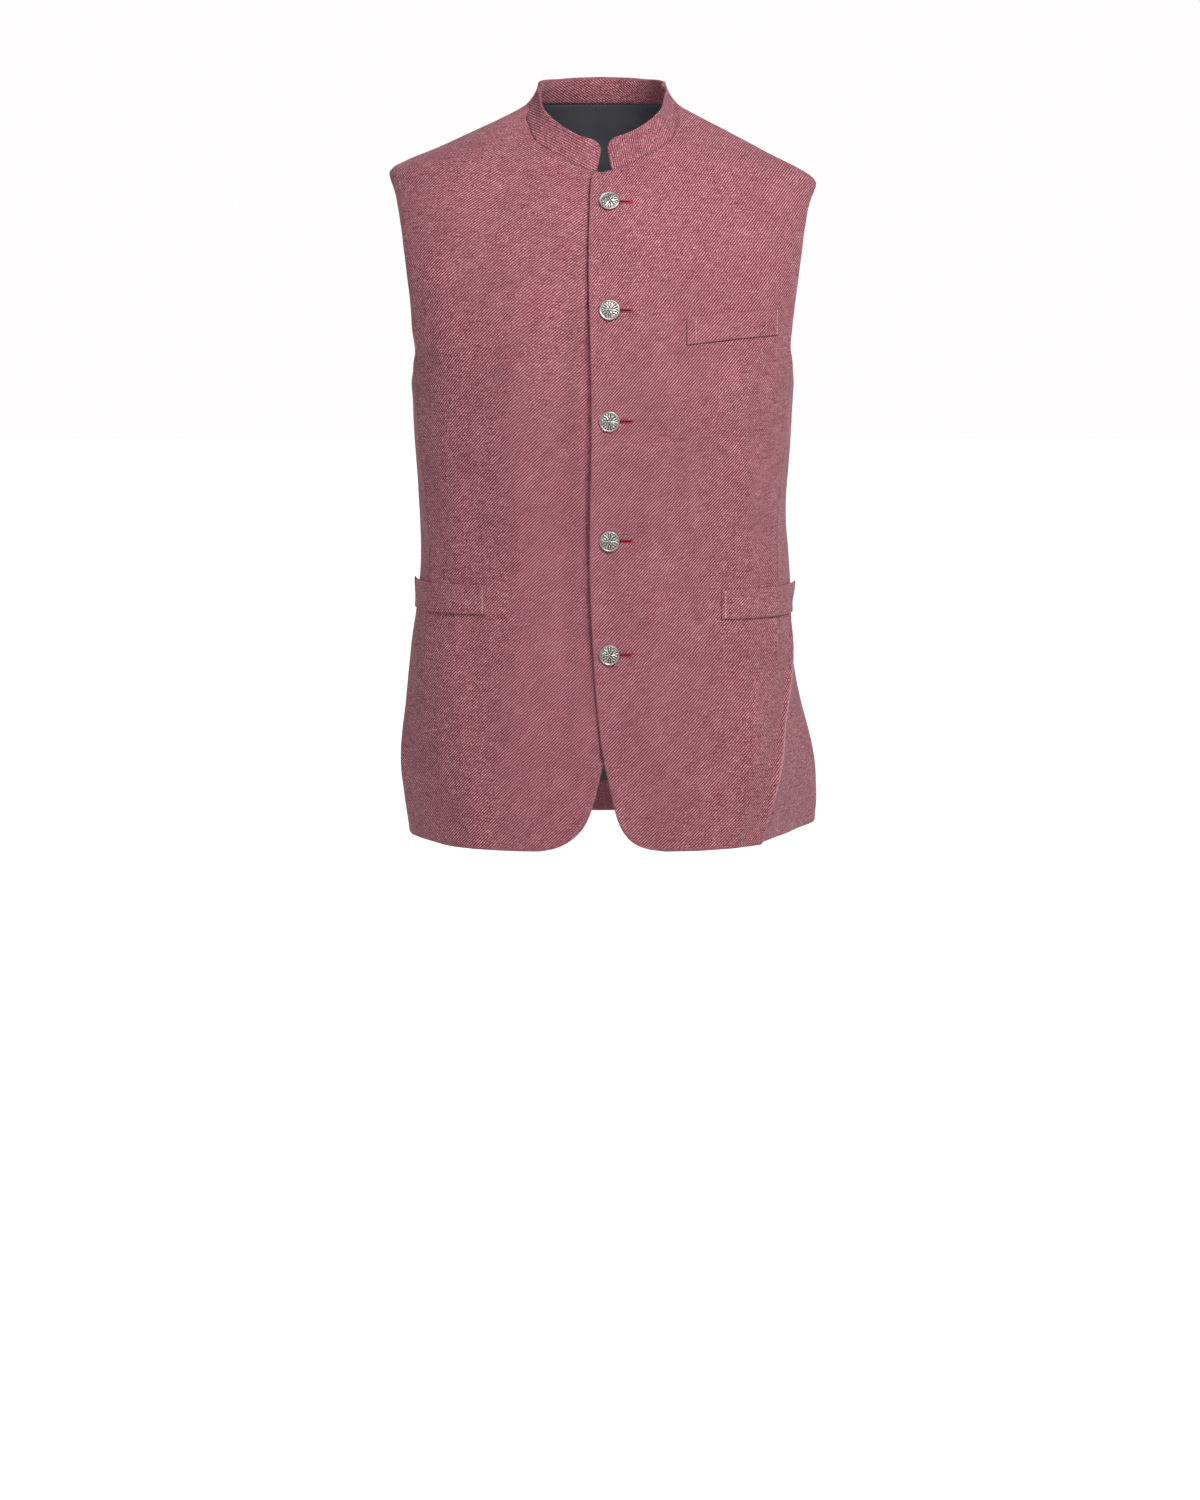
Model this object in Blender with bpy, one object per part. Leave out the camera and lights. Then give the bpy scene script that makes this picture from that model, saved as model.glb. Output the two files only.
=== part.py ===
"""Sleeveless nehru jacket with a stand collar, worn open at neck, armholes and hem.

Every cut piece is its own closed solid: two fronts, the back, the collar, three
pocket welts and five shank buttons. The cloth is a thin wall whose outer face is
worked out from level sections of the worn jacket, bent by a short table of folds.

The wearer faces -Y, and the wearer's left is +X. The origin is the middle of the
neck opening at the height of the shoulder line. Sizes in the tables are in
millimetres and are turned into metres where the meshes are made.
"""

import math
from collections import namedtuple
from functools import lru_cache

import bmesh
import bpy
import numpy as np
from mathutils import Matrix, Vector

MM = 0.001

# Cloth and seams
BODY_WALL = 2.0
COLLAR_WALL = 2.4
WELT_WALL = 1.6
SEAM_GAP = 0.4
OVERLAP_GAP = 0.6
WELT_GAP = 0.5

# Where the main seams lie
RIDGE_Y = 8.0
SHOULDER_SEAM_BACK = 6.0
SIDE_SEAM_ANGLE = 97.0
HEM = -714.0
UNDERARM = -270.0
SHOULDER_TIP = -50.0
NECK_SIDE = 13.0

# The wearer's left shoulder hangs lower than the right one, from DROP_START
# (measured from the middle) to the tip, and the drop fades out below the chest.
SHOULDER_DROP = 10.0
DROP_START = 60.0
DROP_REACH = 153.0
DROP_BEND = 1.8
DROP_FADE_TOP = -70.0
DROP_FADE_BOTTOM = -260.0

# Where the over front rides up on the under front, measured from the middle.
LAP_FLAT_TO = 28.0
LAP_BLEND_TO = 75.0

# Level sections of the jacket's outer face. front and back are depths from the
# shoulder ridge, and the squares say how boxy that half of the section is.
Section = namedtuple("Section", "height width front back front_square back_square")
SECTIONS = (
    Section(-714, 197.0, 148, 121, 2.75, 2.6),
    Section(-680, 201.5, 148, 120, 2.75, 2.6),
    Section(-645, 204.0, 147, 119, 2.75, 2.6),
    Section(-580, 199.0, 145, 115, 2.75, 2.6),
    Section(-520, 193.0, 143, 109, 2.80, 2.7),
    Section(-488, 188.0, 142, 106, 2.80, 2.7),
    Section(-430, 182.5, 141, 104, 2.80, 2.7),
    Section(-370, 184.5, 143, 107, 2.80, 2.8),
    Section(-320, 188.0, 146, 113, 2.80, 2.8),
    Section(-268, 190.5, 146, 117, 2.85, 2.8),
    Section(-237, 194.0, 145, 118, 2.85, 2.8),
    Section(-195, 201.0, 140, 118, 2.85, 2.8),
    Section(-150, 209.0, 129, 115, 2.75, 2.7),
    Section(-120, 212.5, 118, 111, 2.60, 2.6),
    Section(-90, 213.5, 103, 105, 2.40, 2.5),
    Section(-64, 213.5, 86, 98, 2.20, 2.4),
    Section(-56, 213.0, 81, 96, 2.20, 2.4),
    Section(-50, 209.5, 77, 94, 2.15, 2.3),
    Section(-43, 197.0, 73, 90, 2.10, 2.3),
    Section(-30, 165.0, 63, 84, 2.05, 2.2),
    Section(-11, 123.0, 45, 75, 2.00, 2.2),
    Section(0, 99.0, 34, 69, 2.00, 2.2),
    Section(13, 75.0, 15, 59, 2.00, 2.2),
    Section(26, 62.0, 8, 48, 2.00, 2.2),
)

# The armhole's edge: how far it runs before and behind the shoulder ridge.
ArmholeRow = namedtuple("ArmholeRow", "height front back")
ARMHOLE = (
    ArmholeRow(-50, 0, 6),
    ArmholeRow(-57, 12, 15),
    ArmholeRow(-68, 25, 28),
    ArmholeRow(-82, 38, 40),
    ArmholeRow(-100, 51, 51),
    ArmholeRow(-122, 63, 60),
    ArmholeRow(-150, 73, 68),
    ArmholeRow(-185, 78, 73),
    ArmholeRow(-215, 76, 72),
    ArmholeRow(-237, 68, 67),
    ArmholeRow(-252, 55, 59),
    ArmholeRow(-263, 34, 46),
    ArmholeRow(-270, -10, 24),
)

# The neck seam, by the angle round the neck from the centre front.
NeckRow = namedtuple("NeckRow", "angle height rise lean")
NECK = (
    NeckRow(0, -60, 31.0, 8.0),
    NeckRow(16, -53, 29.0, 7.5),
    NeckRow(28, -44, 28.0, 7.5),
    NeckRow(38, -36.5, 28.5, 8.0),
    NeckRow(49, -27.5, 30.0, 9.5),
    NeckRow(66, -8, 29.0, 11.0),
    NeckRow(90, 13, 22.0, 12.0),
    NeckRow(120, 17, 22.5, 11.0),
    NeckRow(150, 18, 24.5, 9.0),
    NeckRow(180, 18, 25.5, 8.0),
)

# The two front edges, measured from the middle: the wearer's left front laps
# over the right one, and both swing away into rounded corners at the hem.
EdgeRow = namedtuple("EdgeRow", "height over under")
FRONT_EDGES = (
    EdgeRow(-714, 61.0, -61.0),
    EdgeRow(-711, 43.5, -46.0),
    EdgeRow(-703, 28.0, -31.0),
    EdgeRow(-689, 17.2, -17.5),
    EdgeRow(-668, 10.5, -9.0),
    EdgeRow(-644, 5.3, -3.0),
    EdgeRow(-621, 0.2, 2.5),
    EdgeRow(-592, -3.5, 8.0),
    EdgeRow(-555, -7.0, 13.0),
    EdgeRow(-500, -10.4, 18.0),
    EdgeRow(-430, -12.7, 21.0),
    EdgeRow(-300, -11.0, 22.0),
    EdgeRow(-210, -12.2, 22.0),
    EdgeRow(-150, -13.8, 22.0),
    EdgeRow(-90, -12.5, 21.0),
    EdgeRow(-64, -10.5, 19.0),
    EdgeRow(-60, -7.5, 16.0),
)

# Folds and hollows. side is +1 on the wearer's left and -1 on the right. The
# crest runs from (top, top_angle) to (bottom, bottom_angle); spread is its half
# width in degrees, and depth is outward where positive.
Fold = namedtuple("Fold", "name side top bottom top_angle bottom_angle spread depth fade")
FOLDS = (
    Fold("left hip", 1, -375, -515, 90, 90, 25.0, 5.5, 0.5),
    Fold("left skirt tuck", 1, -500, -714, 83, 68, 16.0, -17.0, 0.5),
    Fold("left skirt crest", 1, -500, -714, 76, 56, 4.0, 3.5, 0.4),
    Fold("left back flare", 1, -490, -714, 104, 109, 14.5, 37.0, 1.1),
    Fold("right skirt tuck", -1, -540, -714, 60, 65, 12.0, -9.0, 0.8),
    Fold("right skirt crest", -1, -560, -700, 77, 78, 6.0, 2.0, 0.5),
    Fold("right back flare", -1, -570, -681, 104, 106, 14.0, 6.0, 0.5),
    Fold("left dart ridge", 1, -237, -545, 70, 60, 4.0, 1.4, 0.25),
    Fold("right dart ridge", -1, -237, -560, 71, 62, 4.0, 1.4, 0.25),
    Fold("right collarbone hollow", -1, -40, -190, 46, 38, 13.0, -4.0, 0.35),
    Fold("left chest hollow", 1, -60, -170, 52, 46, 11.0, -2.0, 0.35),
    Fold("left front swag", 1, -470, -714, 40, 34, 9.0, 2.0, 0.5),
    Fold("right front swag", -1, -500, -714, 36, 30, 9.0, 1.8, 0.5),
    Fold("left small of back", 1, -330, -560, 158, 152, 8.0, 2.5, 0.5),
    Fold("right small of back", -1, -300, -540, 150, 146, 8.0, 2.2, 0.5),
    Fold("left seat fold", 1, -500, -714, 140, 146, 9.0, 4.0, 0.6),
    Fold("right seat fold", -1, -520, -714, 134, 138, 10.0, 5.0, 0.6),
)

# Lines that the fronts' grids follow below the armhole: the underarm dart, and
# the crest of the skirt on each side. The guides take hold between the two levels.
GuideRow = namedtuple("GuideRow", "height dart left_crest right_crest")
GUIDES = (
    GuideRow(-714, 51.0, 56.5, 78.0),
    GuideRow(-600, 59.0, 66.5, 78.5),
    GuideRow(-505, 64.4, 77.0, 80.0),
    GuideRow(-460, 64.5, 80.0, 80.0),
    GuideRow(-237, 70.0, 80.0, 80.0),
)
GUIDE_FULL = -340.0
GUIDE_NONE = -280.0

# Pocket welts
Welt = namedtuple("Welt", "name side top inner_x height")
SIDE_WELTS = (
    Welt("pocket_welt_left", 1, -459.5, 116.0, 29.0),
    Welt("pocket_welt_right", -1, -455.5, 114.0, 28.5),
)
WELT_OUTER_ANGLE = 88.0
WELT_GAPE = 3.6
WELT_GAPE_REACH = 14.0
WELT_COLUMN_ROOM = 1.5
CHEST_WELT_GAP = 0.7
CHEST_WELT_INNER_X = 80.0
CHEST_WELT_OUTER_X = 169.7
CHEST_WELT_INNER_TOP = -198.7
CHEST_WELT_OUTER_TOP = -187.7
CHEST_WELT_HEIGHT = 25.7
CHEST_WELT_COLUMNS = 8
CHEST_WELT_ROWS = 2

# Collar ends
COLLAR_GAP_X = 1.8
COLLAR_END_BASE = 7.2
COLLAR_END_TOP = 3.0
COLLAR_CORNER = 11.0
COLLAR_CORNER_STEPS = (0.0, 0.12, 0.35, 0.65, 1.0)
COLLAR_BEND = 1.8
COLLAR_SLIP_REACH = 25.0
COLLAR_ROWS = 4

# Buttons and their holes
BUTTON_X = 6.5
BUTTON_HEIGHTS = (-89.0, -192.0, -297.0, -411.5, -521.5)
BUTTON_STEPS = 20
BUTTON_LIFT = 0.5
SHANK_RADIUS = 1.2
ProfileRow = namedtuple("ProfileRow", "radius height")
BUTTON_PROFILE = (
    ProfileRow(7.6, 0.0),
    ProfileRow(9.8, 1.0),
    ProfileRow(9.5, 2.3),
    ProfileRow(8.7, 2.6),
    ProfileRow(7.7, 1.9),
    ProfileRow(4.4, 2.5),
    ProfileRow(0.0, 2.9),
)
HOLE_LENGTH = 22.5
HOLE_WIDTH = 3.2
HOLE_START = -0.2
HOLE_END_STEPS = 4
HOLE_CUT_DEPTH = 12.0

# Mesh counts, and how late a row starts to climb from the middle to the armhole
ROW_BEND = 1.4
FRONT_COLUMNS_TO_DART = 9
FRONT_COLUMNS_TO_CREST = 3
FRONT_COLUMNS_TO_SEAM = 4
BACK_COLUMNS = 12
SKIRT_STEP = 24.0
ARMHOLE_ROWS = 12
SHOULDER_ROWS = 7
HEM_ROWS = (-714.0, -710.5, -702.0, -688.0, -667.0, -644.0)
ARMHOLE_SAMPLES = 200
HALVINGS = 40
CLOTH_SHARP_ANGLE = math.radians(40.0)
METAL_SHARP_ANGLE = math.radians(35.0)


def smooth(low, high, value):
    """0 below low, 1 above high, with an even blend between."""
    t = min(max((value - low) / (high - low), 0.0), 1.0)
    return t * t * (3.0 - 2.0 * t)


class Curve:
    """A smooth line through the rows of a table, with no overshoot."""

    def __init__(self, rows, key, value):
        pairs = sorted((getattr(row, key), getattr(row, value)) for row in rows)
        self.x = [float(pair[0]) for pair in pairs]
        self.y = [float(pair[1]) for pair in pairs]
        steps = [b - a for a, b in zip(self.x, self.x[1:])]
        slopes = [(b - a) / h for a, b, h in zip(self.y, self.y[1:], steps)]
        self.slope = [slopes[0]]
        for h0, h1, s0, s1 in zip(steps, steps[1:], slopes, slopes[1:]):
            if s0 * s1 <= 0.0:
                self.slope.append(0.0)
                continue
            w0 = 2.0 * h1 + h0
            w1 = h1 + 2.0 * h0
            self.slope.append((w0 + w1) / (w0 / s0 + w1 / s1))
        self.slope.append(slopes[-1])

    def __call__(self, x):
        x = min(max(x, self.x[0]), self.x[-1])
        i = 0
        while i < len(self.x) - 2 and x > self.x[i + 1]:
            i += 1
        h = self.x[i + 1] - self.x[i]
        t = (x - self.x[i]) / h
        a = self.y[i] * (1 + 2 * t) * (1 - t) ** 2
        b = self.slope[i] * h * t * (1 - t) ** 2
        c = self.y[i + 1] * t * t * (3 - 2 * t)
        d = self.slope[i + 1] * h * t * t * (t - 1)
        return a + b + c + d


WIDTH = Curve(SECTIONS, "height", "width")
FRONT = Curve(SECTIONS, "height", "front")
BACK = Curve(SECTIONS, "height", "back")
FRONT_SQUARE = Curve(SECTIONS, "height", "front_square")
BACK_SQUARE = Curve(SECTIONS, "height", "back_square")
ARM_FRONT = Curve(ARMHOLE, "height", "front")
ARM_BACK = Curve(ARMHOLE, "height", "back")
NECK_HEIGHT = Curve(NECK, "angle", "height")
COLLAR_RISE = Curve(NECK, "angle", "rise")
COLLAR_LEAN = Curve(NECK, "angle", "lean")
OVER_EDGE = Curve(FRONT_EDGES, "height", "over")
UNDER_EDGE = Curve(FRONT_EDGES, "height", "under")
DART_LINE = Curve(GUIDES, "height", "dart")
CREST_LINES = {1: Curve(GUIDES, "height", "left_crest"), -1: Curve(GUIDES, "height", "right_crest")}


def fold_push(side, angle, height):
    """How far the folds move the cloth outward at one place, in millimetres."""
    push = 0.0
    for fold in FOLDS:
        if fold.side != side or height >= fold.top:
            continue
        run = min((fold.top - height) / (fold.top - fold.bottom), 1.0)
        crest = fold.top_angle + (fold.bottom_angle - fold.top_angle) * run
        start = smooth(0.0, fold.fade, run)
        reaches_hem = fold.bottom <= HEM
        end = 1.0 if reaches_hem else smooth(0.0, fold.fade, 1.0 - run)
        push += fold.depth * start * end * math.exp(-((angle - crest) / fold.spread) ** 2)
    return push


def section_radius(angle, height):
    """Distance from the ridge line's middle to the plain section, with no folds."""
    turn = math.radians(angle)
    depth, square = FRONT(height), FRONT_SQUARE(height)
    if abs(angle) > 90.0:
        depth, square = BACK(height), BACK_SQUARE(height)
    across = (abs(math.sin(turn)) / WIDTH(height)) ** square
    along = (abs(math.cos(turn)) / depth) ** square
    return (across + along) ** (-1.0 / square)


def skin(side, angle, height):
    """A point of the outer face, by its angle from the centre front and its height."""
    turn = math.radians(angle)
    reach = section_radius(angle, height) + fold_push(side, angle, height)
    out = reach * math.sin(turn)
    drop = shoulder_drop(out, height) if side > 0 else 0.0
    return Vector((side * out, RIDGE_Y - reach * math.cos(turn), height - drop))


def shoulder_drop(out, height):
    """The wearer's left shoulder hangs lower than the right one, most at its tip."""
    along = min(max((out - DROP_START) / DROP_REACH, 0.0), 1.0)
    return SHOULDER_DROP * along ** DROP_BEND * smooth(DROP_FADE_BOTTOM, DROP_FADE_TOP, height)


def skin_normal(side, angle, height):
    """Outward direction of the outer face at one place."""
    step_angle, step_height = 0.6, 1.5
    across = skin(side, angle + step_angle, height) - skin(side, angle - step_angle, height)
    up = skin(side, angle, height + step_height) - skin(side, angle, height - step_height)
    return (across.cross(up) * side).normalized()


def angle_at_x(x, height):
    """The angle, before folds, at which the section is x away from the middle."""
    low, high = -60.0, 89.0
    for _ in range(HALVINGS):
        middle = 0.5 * (low + high)
        if section_radius(middle, height) * math.sin(math.radians(middle)) < x:
            low = middle
        else:
            high = middle
    return 0.5 * (low + high)


def angle_at_reach(reach, height, front):
    """The angle at which the section is reach before (or behind) the shoulder ridge."""
    low, high = (45.0, 110.0) if front else (75.0, 150.0)
    for _ in range(HALVINGS):
        middle = 0.5 * (low + high)
        ahead = section_radius(middle, height) * math.cos(math.radians(middle))
        past = ahead > reach if front else -ahead < reach
        if past:
            low = middle
        else:
            high = middle
    return 0.5 * (low + high)


def gap_angle(angle, height):
    """Half a seam gap, as an angle at one place of the section."""
    return math.degrees(0.5 * SEAM_GAP / section_radius(angle, height))


def even_steps(start, end, step):
    count = max(1, round(abs(end - start) / step))
    return [start + (end - start) * i / count for i in range(count + 1)]


@lru_cache(maxsize=None)
def armhole_places(front):
    """Points (angle, height) along one edge of the armhole, evenly spaced."""
    reach = ARM_FRONT if front else ARM_BACK
    step = (SHOULDER_TIP - UNDERARM) / ARMHOLE_SAMPLES
    heights = [UNDERARM + step * i for i in range(ARMHOLE_SAMPLES + 1)]
    places = [(SIDE_SEAM_ANGLE, UNDERARM)]
    for height in heights[1:]:
        places.append((angle_at_reach(reach(height), height, front), height))
    points = [skin(1, angle, height) for angle, height in places]
    run = [0.0]
    for a, b in zip(points, points[1:]):
        run.append(run[-1] + (b - a).length)
    targets = [run[-1] * i / ARMHOLE_ROWS for i in range(ARMHOLE_ROWS + 1)]
    angles = np.interp(targets, run, [place[0] for place in places])
    levels = np.interp(targets, run, [place[1] for place in places])
    return list(zip(angles, levels))


def shoulder_places():
    """Points (angle, height) along the shoulder seam, from its tip to the neck."""
    places = []
    for i in range(SHOULDER_ROWS + 1):
        t = i / SHOULDER_ROWS
        height = SHOULDER_TIP + (NECK_SIDE - SHOULDER_TIP) * t
        width = WIDTH(height)
        places.append((90.0 + math.degrees(math.atan(SHOULDER_SEAM_BACK / width)), height))
    return places


def row_heights(welt):
    """Level rows from the hem to the underarm, with rows on the welt's edges."""
    bottom = welt.top - welt.height
    heights = list(HEM_ROWS)
    heights += even_steps(HEM_ROWS[-1], bottom, SKIRT_STEP)[1:]
    heights += even_steps(bottom, welt.top, welt.height / 2.0)[1:]
    heights += even_steps(welt.top, UNDERARM, SKIRT_STEP)[1:]
    return heights


@lru_cache(maxsize=None)
def front_places(side):
    """Grid of (angle, height) for one front, hem row first, front edge first."""
    welt = next(w for w in SIDE_WELTS if w.side == side)
    edge = OVER_EDGE if side > 0 else (lambda height: -UNDER_EDGE(height))
    outer = [(SIDE_SEAM_ANGLE, height) for height in row_heights(welt)]
    inner = [height for _, height in outer]
    upper = armhole_places(True)[1:] + shoulder_places()[1:]
    neck_pit = NECK_HEIGHT(0.0)
    for i, place in enumerate(upper):
        outer.append(place)
        inner.append(UNDERARM + (neck_pit - UNDERARM) * (i + 1) / len(upper))
    to_dart, to_crest = FRONT_COLUMNS_TO_DART, FRONT_COLUMNS_TO_CREST
    columns = to_dart + to_crest + FRONT_COLUMNS_TO_SEAM
    top_row = len(outer) - 1
    grid = []
    for i, ((outer_angle, outer_height), inner_height) in enumerate(zip(outer, inner)):
        first = angle_at_x(edge(inner_height), inner_height)
        last = outer_angle - gap_angle(outer_angle, outer_height)
        guide = 1.0 - smooth(GUIDE_FULL, GUIDE_NONE, inner_height)
        dart = DART_LINE(inner_height)
        crest = CREST_LINES[side](inner_height)
        row = []
        for j in range(columns + 1):
            s = j / columns
            angle = first + (last - first) * s
            if j <= to_dart:
                guided = first + (dart - first) * j / to_dart
            elif j <= to_dart + to_crest:
                guided = dart + (crest - dart) * (j - to_dart) / to_crest
            else:
                guided = crest + (last - crest) * (j - to_dart - to_crest) / FRONT_COLUMNS_TO_SEAM
            angle += (guided - angle) * guide
            if i == top_row:
                height = NECK_HEIGHT(max(angle, 0.0))
            else:
                height = inner_height + (outer_height - inner_height) * s ** ROW_BEND
            row.append((angle, height))
        grid.append(row)
    return grid


def lap_lift(x):
    """How far the over front, and its collar end, are raised on the under front."""
    return (BODY_WALL + OVERLAP_GAP) * (1.0 - smooth(LAP_FLAT_TO, LAP_BLEND_TO, x))


def front_grid(side):
    """Outer points and normals of one front."""
    points, normals = [], []
    for row in front_places(side):
        line, line_normals = [], []
        for angle, height in row:
            point = skin(side, angle, height)
            normal = skin_normal(side, angle, height)
            if side > 0:
                point = point + normal * lap_lift(point.x)
            line.append(point)
            line_normals.append(normal)
        points.append(line)
        normals.append(line_normals)
    return points, normals


@lru_cache(maxsize=None)
def back_places():
    """Grid of (angle, height) for one half of the back, centre back first."""
    outer = [(SIDE_SEAM_ANGLE, height) for height in row_heights(SIDE_WELTS[0])]
    inner = [height for _, height in outer]
    upper = armhole_places(False)[1:] + shoulder_places()[1:]
    nape = NECK_HEIGHT(180.0)
    for i, place in enumerate(upper):
        outer.append(place)
        inner.append(UNDERARM + (nape - UNDERARM) * (i + 1) / len(upper))
    top_row = len(outer) - 1
    grid = []
    for i, ((outer_angle, outer_height), inner_height) in enumerate(zip(outer, inner)):
        last = outer_angle + gap_angle(outer_angle, outer_height)
        row = []
        for j in range(BACK_COLUMNS + 1):
            s = j / BACK_COLUMNS
            angle = 180.0 + (last - 180.0) * s
            if i == top_row:
                height = NECK_HEIGHT(angle)
            else:
                height = inner_height + (outer_height - inner_height) * s ** ROW_BEND
            row.append((angle, height))
        grid.append(row)
    return grid


def back_grid():
    """Outer points and normals of the whole back, wearer's right side first."""
    points, normals = [], []
    for half_row in back_places():
        places = [(-1, place) for place in reversed(half_row)]
        places += [(1, place) for place in half_row[1:]]
        points.append([skin(side, *place) for side, place in places])
        normals.append([skin_normal(side, *place) for side, place in places])
    return points, normals


def collar_grid():
    """Outer points and normals of the collar, from the wearer's right end round."""
    points = [[] for _ in range(COLLAR_ROWS + 1)]
    pit = NECK_HEIGHT(0.0)
    for side in (-1, 1):
        columns = []
        seam = [angle for angle, _ in front_places(side)[-1]]
        seam += [angle for angle, _ in reversed(back_places()[-1])][1:]
        base_x = COLLAR_END_BASE + side * COLLAR_GAP_X
        top_x = COLLAR_END_TOP + side * COLLAR_GAP_X
        start = angle_at_x(base_x, pit)
        bend = angle_at_x(base_x + COLLAR_CORNER, pit)
        angles = [start + (bend - start) * t for t in COLLAR_CORNER_STEPS]
        angles += [angle for angle in seam if angle > bend + 2.0]
        base_slip = math.degrees((base_x - top_x) / section_radius(start, pit))
        for angle in angles:
            into = min((angle - start) / (bend - start), 1.0)
            corner = COLLAR_CORNER * (1.0 - math.sqrt(1.0 - (1.0 - into) ** 2))
            rise = COLLAR_RISE(angle) - corner
            lean = COLLAR_LEAN(angle)
            slip = base_slip * (1.0 - smooth(start, start + COLLAR_SLIP_REACH, angle))
            column = []
            for k in range(COLLAR_ROWS + 1):
                t = k / COLLAR_ROWS
                place = angle - slip * t
                height = NECK_HEIGHT(max(angle, 0.0))
                foot = skin(side, place, height)
                out = Vector((foot.x, foot.y - RIDGE_Y, 0.0)).normalized()
                normal = skin_normal(side, angle, height)
                lapped = side > 0 and angle < 90.0
                lift = lap_lift(foot.x) if lapped else 0.0
                inward = lean * (1.0 - (1.0 - t) ** COLLAR_BEND)
                up = SEAM_GAP + rise * t
                column.append(foot + normal * lift - out * inward + Vector((0, 0, up)))
            columns.append(column)
        if side > 0:
            columns = list(reversed(columns))[1:]
        for column in columns:
            for k in range(COLLAR_ROWS + 1):
                points[k].append(column[k])
    return points, grid_normals(points)


def grid_normals(points):
    """Normals of a grid from its own points, outward on a grid run by +X behind."""
    rows, columns = len(points), len(points[0])
    normals = []
    for i in range(rows):
        line = []
        for j in range(columns):
            across = points[i][min(j + 1, columns - 1)] - points[i][max(j - 1, 0)]
            up = points[min(i + 1, rows - 1)][j] - points[max(i - 1, 0)][j]
            line.append(up.cross(across).normalized())
        normals.append(line)
    return normals


def side_welt_grid(welt):
    """Outer points and normals of a lower welt, from the front's own places."""
    bottom = welt.top - welt.height
    panel = front_places(welt.side)
    rows = [row for row in panel if bottom - 0.01 <= row[0][1] <= welt.top + 0.01]
    points, normals = [], []
    for row in rows:
        height = row[0][1]
        first = angle_at_x(welt.inner_x, height)
        lowest, highest = first + WELT_COLUMN_ROOM, WELT_OUTER_ANGLE - WELT_COLUMN_ROOM
        inside = [angle for angle, _ in row if lowest < angle < highest]
        line, line_normals = [], []
        for angle in [first] + inside + [WELT_OUTER_ANGLE]:
            point = skin(welt.side, angle, height)
            normal = skin_normal(welt.side, angle, height)
            gape = smooth(WELT_OUTER_ANGLE - WELT_GAPE_REACH, WELT_OUTER_ANGLE, angle)
            gape *= WELT_GAPE * smooth(bottom, welt.top, height)
            line.append(point + normal * (WELT_GAP + WELT_WALL + gape))
            line_normals.append(normal)
        points.append(line)
        normals.append(line_normals)
    return points, normals


def chest_welt_grid():
    """Outer points and normals of the slanted chest welt."""
    points, normals = [], []
    for k in range(CHEST_WELT_ROWS + 1):
        line, line_normals = [], []
        for j in range(CHEST_WELT_COLUMNS + 1):
            s = j / CHEST_WELT_COLUMNS
            x = CHEST_WELT_INNER_X + (CHEST_WELT_OUTER_X - CHEST_WELT_INNER_X) * s
            top = CHEST_WELT_INNER_TOP + (CHEST_WELT_OUTER_TOP - CHEST_WELT_INNER_TOP) * s
            height = top - CHEST_WELT_HEIGHT * (1.0 - k / CHEST_WELT_ROWS)
            angle = angle_at_x(x, height)
            normal = skin_normal(1, angle, height)
            point = skin(1, angle, height) + normal * (CHEST_WELT_GAP + WELT_WALL)
            line.append(point)
            line_normals.append(normal)
        points.append(line)
        normals.append(line_normals)
    return points, normals


def finish_material(name, colour, roughness, metallic):
    material = bpy.data.materials.new(name)
    material.use_nodes = True
    surface = material.node_tree.nodes["Principled BSDF"]
    surface.inputs["Base Color"].default_value = (*colour, 1.0)
    surface.inputs["Roughness"].default_value = roughness
    surface.inputs["Metallic"].default_value = metallic
    return material


def add_object(name, mesh, material):
    mesh.materials.append(material)
    piece = bpy.data.objects.new(name, mesh)
    bpy.context.scene.collection.objects.link(piece)
    return piece


def wall(name, points, normals, thickness, material):
    """A closed cloth wall: the grid is its outer face, and the inner one is offset."""
    rows, columns = len(points), len(points[0])
    mesh_maker = bmesh.new()
    outer = [[mesh_maker.verts.new(p * MM) for p in row] for row in points]
    inner = []
    for row, row_normals in zip(points, normals):
        inner.append([mesh_maker.verts.new((p - n * thickness) * MM)
                      for p, n in zip(row, row_normals)])
    for i in range(rows - 1):
        for j in range(columns - 1):
            rising = (points[i + 1][j + 1] - points[i][j]).length
            falling = (points[i][j + 1] - points[i + 1][j]).length
            add_quad(mesh_maker, outer, i, j, rising <= falling)
            add_quad(mesh_maker, inner, i, j, rising <= falling)
    border = [(0, j) for j in range(columns)]
    border += [(i, columns - 1) for i in range(1, rows)]
    border += [(rows - 1, j) for j in range(columns - 2, -1, -1)]
    border += [(i, 0) for i in range(rows - 2, 0, -1)]
    for (i, j), (k, m) in zip(border, border[1:] + border[:1]):
        mesh_maker.faces.new((outer[i][j], outer[k][m], inner[k][m], inner[i][j]))
    bmesh.ops.recalc_face_normals(mesh_maker, faces=mesh_maker.faces)
    mesh = bpy.data.meshes.new(name)
    mesh_maker.to_mesh(mesh)
    mesh_maker.free()
    mesh.shade_smooth()
    mesh.set_sharp_from_angle(angle=CLOTH_SHARP_ANGLE)
    return add_object(name, mesh, material)


def add_quad(mesh_maker, grid, i, j, rising):
    """Two triangles of one grid cell, split along its rising or its falling diagonal."""
    a, b = grid[i][j], grid[i][j + 1]
    c, d = grid[i + 1][j + 1], grid[i + 1][j]
    if rising:
        mesh_maker.faces.new((a, b, c))
        mesh_maker.faces.new((a, c, d))
    else:
        mesh_maker.faces.new((a, b, d))
        mesh_maker.faces.new((b, c, d))


def button_place(height):
    """Middle and outward direction of a button, on the over front's outer face."""
    angle = angle_at_x(BUTTON_X, height)
    normal = skin_normal(1, angle, height)
    return skin(1, angle, height) + normal * lap_lift(BUTTON_X), normal


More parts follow.
